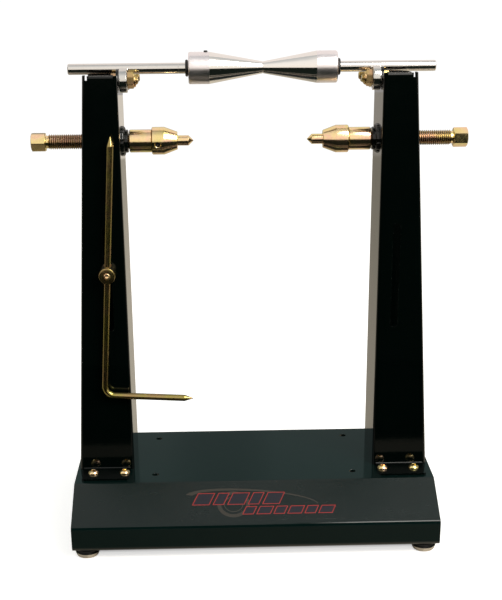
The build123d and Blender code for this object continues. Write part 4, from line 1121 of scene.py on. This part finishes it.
# ---------------------------------------------------------------------------
# Pointer
# ---------------------------------------------------------------------------
def build_pointer():
    lo, hi = mm_box("pointer_rod")
    y, r = (lo.y + hi.y) / 2, (hi.y - lo.y) / 2
    up = Vector(JOINT["pointer_reach"]["axis"]).normalized()
    co = [Vector(v.co) / MM for v in NODES["pointer_rod"].data.vertices]
    zmax, xmax = max(p.z for p in co), max(p.x for p in co)
    tops = [p for p in co if p.z > zmax - 0.4]
    ends = [p for p in co if p.x > xmax - 0.4]
    top = Vector((sum(p.x for p in tops) / len(tops), y, zmax))
    end = Vector((xmax, y, sum(p.z for p in ends) / len(ends)))
    arm = Vector((87.08, 0, -4.9)).normalized()
    # the corner is where the two centre lines meet
    a, b2 = up, arm
    den = a.x * b2.z - a.z * b2.x
    w = top - end
    t = (b2.x * w.z - b2.z * w.x) / den
    corner = top + a * t
    R = 9.5
    d1, d2 = (top - corner).normalized(), (end - corner).normalized()
    half = math.acos(d1.dot(d2)) / 2
    tan_len = R / math.tan(half)
    centre = corner + (d1 + d2).normalized() * (R / math.sin(half))
    p1, p2 = corner + d1 * tan_len, corner + d2 * tan_len
    path = []
    pl = 8.6

    def tip_radius(s):
        if s >= pl:
            return r
        return max(0.0, 0.25 + (r - 0.25) * s / pl)
    L1 = (top - p1).length
    ss = [0.0, 0.05, 0.2, 1.5, 3.0, 4.5, 6.5, 8.1, 8.45, 8.6, 8.75, 9.4, 12.0]
    ss += [L1 * k / 14 for k in range(1, 15) if L1 * k / 14 > 13]
    for s in ss:
        rad = tip_radius(s)
        if s == 0.0:
            rad = 0.0
        elif s == 0.05:
            rad = 0.16
        elif 8.4 < s < 8.7:
            rad -= 0.03
        path.append((top + (-d1) * s, -d1, rad))
    s1, s2 = p1 - centre, p2 - centre
    sweep = math.acos(max(-1, min(1, s1.normalized().dot(s2.normalized()))))
    nrm = s1.cross(s2).normalized()
    for k in range(1, 24):
        rot = Matrix.Rotation(sweep * k / 24, 3, nrm)
        v = rot @ s1
        tan = nrm.cross(v).normalized()
        # the rod flattens a little on the outside of the bend
        path.append((centre + v, tan, r * (1 - 0.012 * math.sin(math.pi * k / 24))))
    L2 = (end - p2).length
    tail = [(s, end + (-d2) * s) for s in ss]
    tail = [(s, end - d2 * s) for s in sorted([x for x in ss if x < 13] + [L2 * k / 6 for k in range(1, 7) if L2 * k / 6 > 13], reverse=True)]
    for s, p in tail:
        rad = tip_radius(s)
        if s == 0.0:
            rad = 0.0
        elif s == 0.05:
            rad = 0.16
        elif 8.4 < s < 8.7:
            rad -= 0.03
        path.append((p, d2, rad))
    b = Build()
    seg = 48
    rings = []
    Y = Vector((0, 1, 0))
    for p, tan, rad in path:
        if rad == 0.0:
            rings.append([len(b.v)])
            b.v.append(p)
            continue
        side = tan.cross(Y).normalized()
        ring = []
        for i in range(seg):
            a = TAU * i / seg
            ring.append(len(b.v))
            b.v.append(p + (Y * math.cos(a) + side * math.sin(a)) * rad)
        rings.append(ring)
    for p, q in zip(rings[:-1], rings[1:]):
        for i in range(seg):
            j = (i + 1) % seg
            if len(p) == 1:
                b.f.append((p[0], q[i], q[j]))
            elif len(q) == 1:
                b.f.append((p[i], p[j], q[0]))
            else:
                b.f.append((p[i], q[i], q[j], p[j]))
            b.m.append(0)
    b.make("pointer_rod_bent", "pointer_rod", ["yellow_zinc_rod"], 30)

    # clamp
    lo, hi = mm_box("pointer_clamp")
    c = (lo + hi) / 2
    pos = Vector(JOINT["pointer_swivel"]["pos_m"]) / MM
    R = (hi.x - lo.x) / 2
    L = hi.y - lo.y
    ax = Axis((pos.x, lo.y, pos.z), (0, 1, 0))
    prof = [(0.0, 0.0), (0.0, R - 1.1, 0.0), (0.12, R - 0.5, 0.4), (0.9, R, 0.5), (L - 0.5, R, 0.2), (L, R - 0.5, 0.1), (L, 0.0)]
    rows = [(0.0, 0)] + rounded(prof, 0.3, 4)[1:-1] + [(L, 0)]
    b = Build()
    b.grid(ax, rows, 96)
    # the clamp takes the darker zinc copy too: painted shade for the dark front its face mirrors
    ob = b.make("pointer_clamp_turned", "pointer_clamp", ["yellow_zinc_rod"], 30)
    cutb = Build()
    rr = r + 0.04
    rax = Axis((pos.x, y, pos.z), up)
    cutb.grid(rax, [(-20, 0), (-20, rr), (20, rr), (20, 0)], 48)
    cut(ob, cutb, 30)
    cutb = Build()
    zin = y - lo.y
    cutb.grid(ax, [(-1, 0), (-1, 4.4), (0.0, 3.45), (0.4, 3.03), (zin, 3.03), (zin, 0)], 48)
    cut(ob, cutb, 30)
    cutb = Build()
    cutb.grid(ax, [(L - 2.0, 0), (L - 2.0, 2.99), (L - 0.3, 2.99), (L + 0.5, 3.8), (L + 0.5, 0)], 48)
    cut(ob, cutb, 30)

    lo, hi = mm_box("pointer_lock_screw")
    ax = Axis((pos.x, hi.y, pos.z), (0, -1, 0))
    L = hi.y - lo.y
    h = hexagon(3.0, 0.3, 0.02)
    rows = [(0.0, 0), (0.0, 2.2), (0.5, 2.7)]
    rows += thread_rows(0.55, L - 0.5, 2.96, 0.4, 1.0, 0.3, 0.3, 7)
    rows += rounded([(L - 0.45, 2.7), (L - 0.1, 2.5), (L, 2.2), (L, 1.9)], 0.1)[1:]
    rows += [(L, lambda a: h(a) + 0.15), (L - 0.15, h), (L - 2.4, h), (L - 2.9, 0)]
    b = Build()
    b.grid(ax, rows, 48)
    b.make("pointer_lock_screw_socket", "pointer_lock_screw", ["yellow_zinc"], 30)

    lo, hi = mm_box("pointer_stud")
    ax = Axis((pos.x, lo.y, pos.z), (0, 1, 0))
    L = hi.y - lo.y
    rows = [(0.0, 0), (0.0, 2.3), (0.5, 2.6)]
    rows += thread_rows(0.6, L - 0.6, 2.95, 0.45, 1.0, 0.4, 0.4, 8)
    rows += [(L - 0.5, 2.5), (L, 2.1), (L, 0)]
    b = Build()
    b.grid(ax, rows, 48)
    b.make("pointer_stud_threaded", "pointer_stud", ["yellow_zinc"], 30)

    b = Build()
    for lo, hi in islands("pointer_washers"):
        R, L = (hi.x - lo.x) / 2, hi.y - lo.y
        ax = Axis((pos.x, lo.y, pos.z), (0, 1, 0))
        d = min(0.18, L * 0.25)
        b.grid(ax, rounded([(0, 3.2), (0, R, d), (L, R, d), (L, 3.2)], 0.06, 3, close=True), 72, close=True)
    b.make("pointer_washers_stamped", "pointer_washers", ["yellow_zinc"], 35)

    lo, hi = mm_box("pointer_nut")
    ax = Axis((pos.x, lo.y, pos.z), (0, 1, 0))
    ph = corner_angle("pointer_nut", ax, -0.1, 5.1)
    hx = hexagon(10.0, ph)
    L = hi.y - lo.y
    rows = [(0.4, 3.0), (0.0, 3.4), (0.0, 4.75), (lambda a: max(0.02, (hx(a) - 4.75) * 0.577), hx),
            (lambda a: L - max(0.02, (hx(a) - 4.75) * 0.577), hx), (L, 4.75), (L, 3.4), (L - 0.4, 3.0)]
    b = Build()
    b.grid(ax, rows, 60, close=True)
    b.make("pointer_nut_hex", "pointer_nut", ["yellow_zinc"], 30)


# ---------------------------------------------------------------------------
# Glides
# ---------------------------------------------------------------------------
def build_glide(corner):
    node = f"glide_shell_{corner}"
    lo, hi = mm_box(node)
    c = (lo + hi) / 2
    ax = Axis((c.x, c.y, lo.z), (0, 0, 1))
    R, H = (hi.x - lo.x) / 2, hi.z - lo.z
    # pressed cup with a rolled rim
    outer = [(0.0, 0.0)] + [(0.0, 6.5), (0.0, 8.2)]
    wall_o = [(0.15, 9.1), (0.62, 10.05), (1.5, 10.75), (2.7, 11.3), (3.9, 11.6), (H - 0.5, R - 0.04)]
    rim = [(H - 0.18, R - 0.02), (H, R - 0.25), (H - 0.02, R - 0.6), (H - 0.25, R - 0.8)]
    wall_i = [(3.6, 10.75), (2.5, 10.35), (1.6, 9.7), (1.05, 8.9), (0.85, 7.9)]
    rows = [(0.0, 0)] + outer[1:] + wall_o + rim + wall_i + [(0.8, 6.5), (0.8, 0)]
    b = Build()
    b.grid(ax, rows, 96)
    b.make(f"{node}_pressed", node, ["nickel_plate"], 40)

    node = f"glide_cushion_{corner}"
    lo, hi = mm_box(node)
    ax = Axis((c.x, c.y, lo.z), (0, 0, 1))
    H, R = hi.z - lo.z, (hi.x - lo.x) / 2
    prof = [(0.0, 0.0), (0.0, 7.4, 0.5), (1.75, R - 0.1, 0.8), (H - 3.2, R - 0.05, 0.5), (H - 2.6, R - 0.45, 0.3), (H - 2.0, R - 0.05, 0.3),
            (H - 0.6, R - 0.05, 0.3), (H, R - 0.65, 0.4), (H, 4.5, 0.2), (H - 0.4, 4.12, 0.0), (2.15, 4.12, 0.0), (2.15, 0.0)]
    rows = [(0.0, 0)] + rounded(prof, 0.3, 4)[1:-1] + [(2.15, 0)]
    b = Build()
    b.grid(ax, rows, 72)
    b.make(f"{node}_moulded", node, ["rubber"], 50)

    node = f"glide_stem_{corner}"
    lo, hi = mm_box(node)
    ax = Axis((c.x, c.y, lo.z), (0, 0, 1))
    H = hi.z - lo.z
    z0 = 7.9 - lo.z
    ph = corner_angle(node, ax, z0 - 0.1, z0 + 2.4)
    h = hexagon(13.0, ph)
    rows = [(0.0, 0), (0.0, 3.6), (0.35, 3.95), (z0 - 0.3, 3.95), (z0, 4.3), (z0, 6.1),
            (lambda a: z0 + max(0.02, (h(a) - 6.1) * 0.45), h), (lambda a: z0 + 2.3 - max(0.02, (h(a) - 6.1) * 0.45), h),
            (z0 + 2.3, 6.1), (z0 + 2.3, 4.2), (z0 + 2.7, 3.6)]
    rows += thread_rows(z0 + 2.8, H - 0.6, 3.98, 0.66, 1.25, 0.5, 0.5, 8)
    rows += [(H - 0.5, 3.3), (H - 0.15, 3.0), (H, 2.7), (H, 0)]
    b = Build()
    b.grid(ax, rows, 60)
    b.make(f"{node}_threaded", node, ["zinc_steel"], 30)


def build_weld_nuts():
    b = Build()
    for k, (lo, hi) in enumerate(islands("glide_weld_nuts")):
        c = (lo + hi) / 2
        ax = Axis((c.x, c.y, lo.z), (0, 0, 1))
        H = hi.z - lo.z
        ph = corner_angle("glide_weld_nuts", ax, -0.1, H + 0.1, (lo, hi))
        h = hexagon(13.0, ph)
        rows = [(0.5, 4.04), (0.0, 4.5), (0.0, 6.3), (lambda a: max(0.02, (h(a) - 6.3) * 0.577), h),
                (lambda a: H - max(0.02, (h(a) - 6.1) * 0.577), h), (H, 6.1), (H, 4.5), (H - 0.5, 4.04)]
        b.grid(ax, rows, 60, close=True)
    b.make("glide_weld_nuts_hex", "glide_weld_nuts", ["weld"], 30)


def build_shims():
    b = Build()
    for lo, hi in islands("bearing_shims"):
        c = (lo + hi) / 2
        ax = Axis((lo.x, c.y, c.z), (1, 0, 0))
        L, R = hi.x - lo.x, (hi.y - lo.y) / 2
        b.grid(ax, rounded([(0, 4.03), (0, R), (L, R), (L, 4.03)], 0.1, 3, close=True), 60, close=True)
    b.make("bearing_shims_turned", "bearing_shims", ["zinc_steel"], 35)


def build_inner_rings():
    b = Build()
    for lo, hi in islands("bearing_inner_rings"):
        c = (lo + hi) / 2
        ax = Axis(c, (1, 0, 0))
        w = (hi.x - lo.x) / 2
        prof = [(-w, 4.28, 0.1), (-w + 0.25, 4.03, 0.0), (w - 0.25, 4.03, 0.0), (w, 4.28, 0.1), (w, 6.07, 0.15), (1.9, 6.07, 0.1),
                (1.4, 5.98, 0.0), (0.9, 5.66, 0.0), (0.4, 5.48, 0.0), (0.0, 5.44, 0.0), (-0.4, 5.48, 0.0), (-0.9, 5.66, 0.0),
                (-1.4, 5.98, 0.0), (-1.9, 6.07, 0.1), (-w, 6.07, 0.15)]
        b.grid(ax, rounded(prof, 0.1, 3, close=True), 72, close=True)
    b.make("bearing_inner_rings_ground", "bearing_inner_rings", ["bearing_steel"], 30)


build_base()
for side in ("left", "right"):
    refine(f"upright_{side}", f"upright_{side}_folded", "black_powder_coat", 0.35, 40.0)
build_label()
build_shaft()
for side, sg in (("left", 1), ("right", -1)):
    build_cone(side)
    build_oring(f"cone_oring_{side}")
    slo, shi = mm_box("balance_shaft")
    zc = (slo.z + shi.z) / 2
    clo, chi = mm_box(f"cone_screw_{side}")
    c = (clo + chi) / 2
    build_set_screw(f"cone_screw_{side}", Vector((c.x, 0, zc)), Vector((0, c.y, c.z - zc)).normalized(), 2.0, 5.03, 10.6, 2.0, 2.4, 0.7)
    build_adjuster(side)
for corner in ("front_left", "front_right", "back_left", "back_right"):
    build_bearing(corner)
    build_glide(corner)
build_bearing_bolts()
build_lock_nuts()
build_inner_rings()
build_shims()
build_tab_screws()
build_foot_nuts()
build_bosses()
build_weld_nuts()
build_pointer()

# CAD nodes that stay as they are get their material
for node, ob in NODES.items():
    if not ob.hide_render:
        ob.data.materials.clear()
        ob.data.materials.append(M[SLOT_OF[node]])


# ---------------------------------------------------------------------------
# Studio: a pale table top that ends a little in front of the stand, a bright room above it
# ---------------------------------------------------------------------------
def build_stage():
    z = CAD_LO.z - 0.0002
    m = bpy.data.materials.new("table_paper")
    m.use_nodes = True
    t = Tree(m.node_tree)
    out = t.node("ShaderNodeOutputMaterial")
    path = t.node("ShaderNodeLightPath")
    co = t.node("ShaderNodeTexCoord").outputs["Object"]
    diff = t.node("ShaderNodeBsdfDiffuse")
    fleck = t.noise(co, 240.0, 4.0, 0.6)
    sepc = t.node("ShaderNodeSeparateXYZ")
    t.link(co, sepc.inputs[0])
    paper = t.mix(fleck, (0.84, 0.835, 0.82, 1), (0.88, 0.875, 0.86, 1))
    # what the metal and the paint see of it: warmer, with painted shade in front of the stand and towards the left
    warm = t.mix(fleck, (0.70, 0.63, 0.53, 1), (0.75, 0.68, 0.57, 1))
    sepi = t.node("ShaderNodeSeparateXYZ")
    t.link(t.node("ShaderNodeNewGeometry").outputs["Incoming"], sepi.inputs[0])
    dim = t.math("MULTIPLY", t.remap(sepc.outputs[1], -0.145, -0.119, 0.24, 1.0, True), t.remap(sepi.outputs[0], -0.04, 0.10, 1.0, 0.70, True))
    warm = t.mix(dim, (0.0, 0.0, 0.0, 1), warm)
    # the paper under the base is painted dark as a shadow, and gets no help from the backdrop
    under = [t.remap(t.math("ABSOLUTE", sepc.outputs[0]), 0.164, 0.180, 0.0, 1.0, True),
             t.remap(t.math("ABSOLUTE", t.math("SUBTRACT", sepc.outputs[1], 0.012)), 0.098, 0.110, 0.0, 1.0, True)]
    open_air = t.math("MAXIMUM", under[0], under[1])
    paper = t.mix(open_air, (0.06, 0.06, 0.058, 1), paper)
    t.link(t.mix(path.outputs["Is Camera Ray"], warm, paper), diff.inputs[0])
    glow = t.node("ShaderNodeEmission")
    glow.inputs[0].default_value = (1, 1, 1, 1)
    t.link(t.math("MULTIPLY", open_air, 0.62), glow.inputs[1])
    lit = t.node("ShaderNodeAddShader")
    t.link(diff.outputs[0], lit.inputs[0])
    t.link(glow.outputs[0], lit.inputs[1])
    seen = t.node("ShaderNodeMixShader")
    t.link(path.outputs["Is Camera Ray"], seen.inputs[0])
    t.link(diff.outputs[0], seen.inputs[1])
    t.link(lit.outputs[0], seen.inputs[2])
    t.link(seen.outputs[0], out.inputs[0])
    me = bpy.data.meshes.new("table_top")
    x0, x1, y0, y1 = -3.0, 3.0, -0.30, 2.4
    me.from_pydata([(x0, y0, z), (x1, y0, z), (x1, y1, z), (x0, y1, z)], [], [(0, 1, 2, 3)])
    ob = bpy.data.objects.new("table_top", me)
    bpy.context.scene.collection.objects.link(ob)
    me.materials.append(m)

    card = bpy.data.materials.new("card_black")
    card.use_nodes = True
    tc = Tree(card.node_tree)
    oc = tc.node("ShaderNodeOutputMaterial")
    dc = tc.node("ShaderNodeBsdfDiffuse")
    fibre = tc.noise(tc.node("ShaderNodeTexCoord").outputs["Object"], 300.0, 3.0)
    tc.link(tc.mix(fibre, (0.002, 0.003, 0.003, 1), (0.004, 0.006, 0.005, 1)), dc.inputs[0])
    tc.link(dc.outputs[0], oc.inputs[0])
    me = bpy.data.meshes.new("card_front")
    y, z0, z1 = -0.172, 0.034, 0.128
    me.from_pydata([(-0.40, y, z0), (0.40, y, z0), (0.40, y, z1), (-0.40, y, z1)], [], [(0, 1, 2, 3)])
    ob = bpy.data.objects.new("card_front", me)
    bpy.context.scene.collection.objects.link(ob)
    me.materials.append(card)
    ob.visible_camera = ob.visible_diffuse = ob.visible_shadow = False

    # an overhead panel, a little in front, whose left edge is right of the middle: a highlight, not a light
    lamp = bpy.data.materials.new("panel_over")
    lamp.use_nodes = True
    tl = Tree(lamp.node_tree)
    ol = tl.node("ShaderNodeOutputMaterial")
    em = tl.node("ShaderNodeEmission")
    em.inputs[0].default_value = (1.0, 0.96, 0.90, 1)
    sl = tl.node("ShaderNodeSeparateXYZ")
    tl.link(tl.node("ShaderNodeTexCoord").outputs["Object"], sl.inputs[0])
    tl.link(tl.remap(sl.outputs[0], 0.13, 0.26, 0.0, 8.0, True), em.inputs[1])
    tl.link(em.outputs[0], ol.inputs[0])
    me = bpy.data.meshes.new("panel_over")
    x0, x1, y0, y1, z = 0.12, 0.75, -0.80, -0.32, 1.2
    me.from_pydata([(x0, y0, z), (x1, y0, z), (x1, y1, z), (x0, y1, z)], [], [(0, 3, 2, 1)])
    ob = bpy.data.objects.new("panel_over", me)
    bpy.context.scene.collection.objects.link(ob)
    me.materials.append(lamp)
    ob.visible_camera = ob.visible_diffuse = ob.visible_shadow = False

    # a pale card close behind the top that glows and is seen only by glossy rays: a painted reflection, mirrored by the
    # shaft and the cones but too high for the deck
    pale = bpy.data.materials.new("card_back")
    pale.use_nodes = True
    tp = Tree(pale.node_tree)
    op = tp.node("ShaderNodeOutputMaterial")
    ep = tp.node("ShaderNodeEmission")
    ep.inputs[0].default_value = (1.0, 0.93, 0.88, 1)
    sp = tp.node("ShaderNodeSeparateXYZ")
    tp.link(tp.node("ShaderNodeTexCoord").outputs["Object"], sp.inputs[0])
    tp.link(tp.remap(sp.outputs[2], 0.40, 0.50, 0.55, 0.95, True), ep.inputs[1])
    tp.link(ep.outputs[0], op.inputs[0])
    me = bpy.data.meshes.new("card_back")
    y, z0, z1 = 0.125, 0.415, 1.25
    me.from_pydata([(-0.5, y, z0), (0.5, y, z0), (0.5, y, z1), (-0.5, y, z1)], [], [(0, 1, 2, 3)])
    ob = bpy.data.objects.new("card_back", me)
    bpy.context.scene.collection.objects.link(ob)
    me.materials.append(pale)
    ob.visible_camera = ob.visible_diffuse = ob.visible_shadow = False

    world = bpy.data.worlds.new("studio")
    bpy.context.scene.world = world
    world.use_nodes = True
    t = Tree(world.node_tree)
    out = t.node("ShaderNodeOutputWorld")
    way = t.node("ShaderNodeTexCoord").outputs["Generated"]
    sep = t.node("ShaderNodeSeparateXYZ")
    t.link(way, sep.inputs[0])
    height = t.remap(sep.outputs[2], -1, 1, 0, 1)
    at = lambda e: (math.sin(math.radians(e)) + 1) / 2
    front = t.ramp(height, [
        (0.0, (0.010, 0.014, 0.011)), (at(-40), (0.008, 0.012, 0.009)), (at(-3.0), (0.006, 0.009, 0.007)),
        (at(-0.5), (1.00, 0.93, 0.82)), (at(20), (1.05, 1.00, 0.93)), (at(50), (1.0, 0.97, 0.92)), (1.0, (0.58, 0.59, 0.585))])
    back = t.ramp(height, [
        (0.0, (0.90, 0.80, 0.68)), (at(-1), (0.96, 0.87, 0.75)), (at(0.5), (0.36, 0.27, 0.20)), (at(7), (0.30, 0.25, 0.21)),
        (at(14), (0.22, 0.25, 0.24)), (at(24), (0.17, 0.235, 0.225)), (at(36), (0.20, 0.25, 0.24)), (at(55), (0.48, 0.51, 0.50)), (1.0, (0.58, 0.59, 0.585))])
    # below the horizon it falls off towards the left; above, the middle is the darkest
    left = t.remap(sep.outputs[0], -0.10, 0.04, 0.52, 1.0, True)
    wide = t.remap(t.math("ABSOLUTE", sep.outputs[0]), 0.01, 0.12, 0.80, 1.60, True)
    high = t.remap(sep.outputs[2], 0.02, 0.12, 0.0, 1.0, True)
    back = t.mix(t.math("ADD", t.math("MULTIPLY", left, t.math("SUBTRACT", 1.0, high)), t.math("MULTIPLY", wide, high)), (0.0, 0.0, 0.0, 1), back)
    side = t.remap(sep.outputs[1], -0.12, 0.12, 0, 1, True)
    mixed = t.mix(side, front, back)
    path = t.node("ShaderNodeLightPath")
    room = t.node("ShaderNodeBackground")
    t.link(mixed, room.inputs[0])
    room.inputs[1].default_value = 1.0
    seen = t.node("ShaderNodeBackground")
    seen.inputs[0].default_value = (1.0, 1.0, 1.0, 1)
    seen.inputs[1].default_value = 1.05
    mix = t.node("ShaderNodeMixShader")
    t.link(path.outputs["Is Camera Ray"], mix.inputs[0])
    t.link(room.outputs[0], mix.inputs[1])
    t.link(seen.outputs[0], mix.inputs[2])
    t.link(mix.outputs[0], out.inputs[0])

    def area(name, at_, to, size, power, color=(1, 1, 1)):
        l = bpy.data.lights.new(name, "AREA")
        l.shape = "RECTANGLE"
        l.size, l.size_y = size
        l.energy = power
        l.color = color
        o = bpy.data.objects.new(name, l)
        bpy.context.scene.collection.objects.link(o)
        o.location = at_
        o.rotation_mode = "QUATERNION"
        o.rotation_quaternion = (Vector(to) - Vector(at_)).to_track_quat("-Z", "Y")
        o.visible_camera = False
        return o
    area("softbox_right", (0.95, -1.15, 1.35), (0.05, 0, 0.2), (0.9, 0.6), 24, (1.0, 0.97, 0.92))


build_stage()

# ---------------------------------------------------------------------------
# Camera: solved against the stand's own frame
# ---------------------------------------------------------------------------
cam_data = bpy.data.cameras.new("camera")
cam = bpy.data.objects.new("camera", cam_data)
bpy.context.scene.collection.objects.link(cam)
bpy.context.scene.camera = cam
F, C0 = 1219.6184, (247.756, 425.214)
yaw, pitch, roll = -0.0241, 0.369, -0.0090
right0 = Vector((math.cos(yaw), math.sin(yaw), 0))
fwd0 = Vector((-math.sin(yaw), math.cos(yaw), 0))
fwd = fwd0 * math.cos(pitch) - Vector((0, 0, 1)) * math.sin(pitch)
upv = Vector((0, 0, 1)) * math.cos(pitch) + fwd0 * math.sin(pitch)
r_ = right0 * math.cos(roll) + upv * math.sin(roll)
u_ = -right0 * math.sin(roll) + upv * math.cos(roll)
eye = Vector((-33.16, -1179.21, 550.616)) * MM
rot = Matrix((r_, u_, -fwd)).transposed()
cam.matrix_world = Matrix.Translation(eye) @ rot.to_4x4()
cam_data.sensor_fit = "AUTO"
cam_data.sensor_width = 36.0
cam_data.lens = F * 36.0 / 600.0
cam_data.shift_x = (251.0 - C0[0]) / 600.0
cam_data.clip_start, cam_data.clip_end = 0.05, 20.0
# the lens shift belongs to this standpoint only: from anywhere else the camera looks straight
drv = cam_data.driver_add("shift_y").driver
drv.type = "SCRIPTED"
var = drv.variables.new()
var.name = "y"
var.type = "TRANSFORMS"
var.targets[0].id = cam
var.targets[0].transform_type = "LOC_Y"
var.targets[0].transform_space = "WORLD_SPACE"
drv.expression = f"{(C0[1] - 300.0) / 600.0:.6f} if abs(y - ({eye.y:.6f})) < 0.0005 else 0.0"

scene = bpy.context.scene
scene.view_settings.view_transform = "Standard"
scene.view_settings.look = "None"
scene.view_settings.exposure = 0.0
scene.view_settings.gamma = 1.0
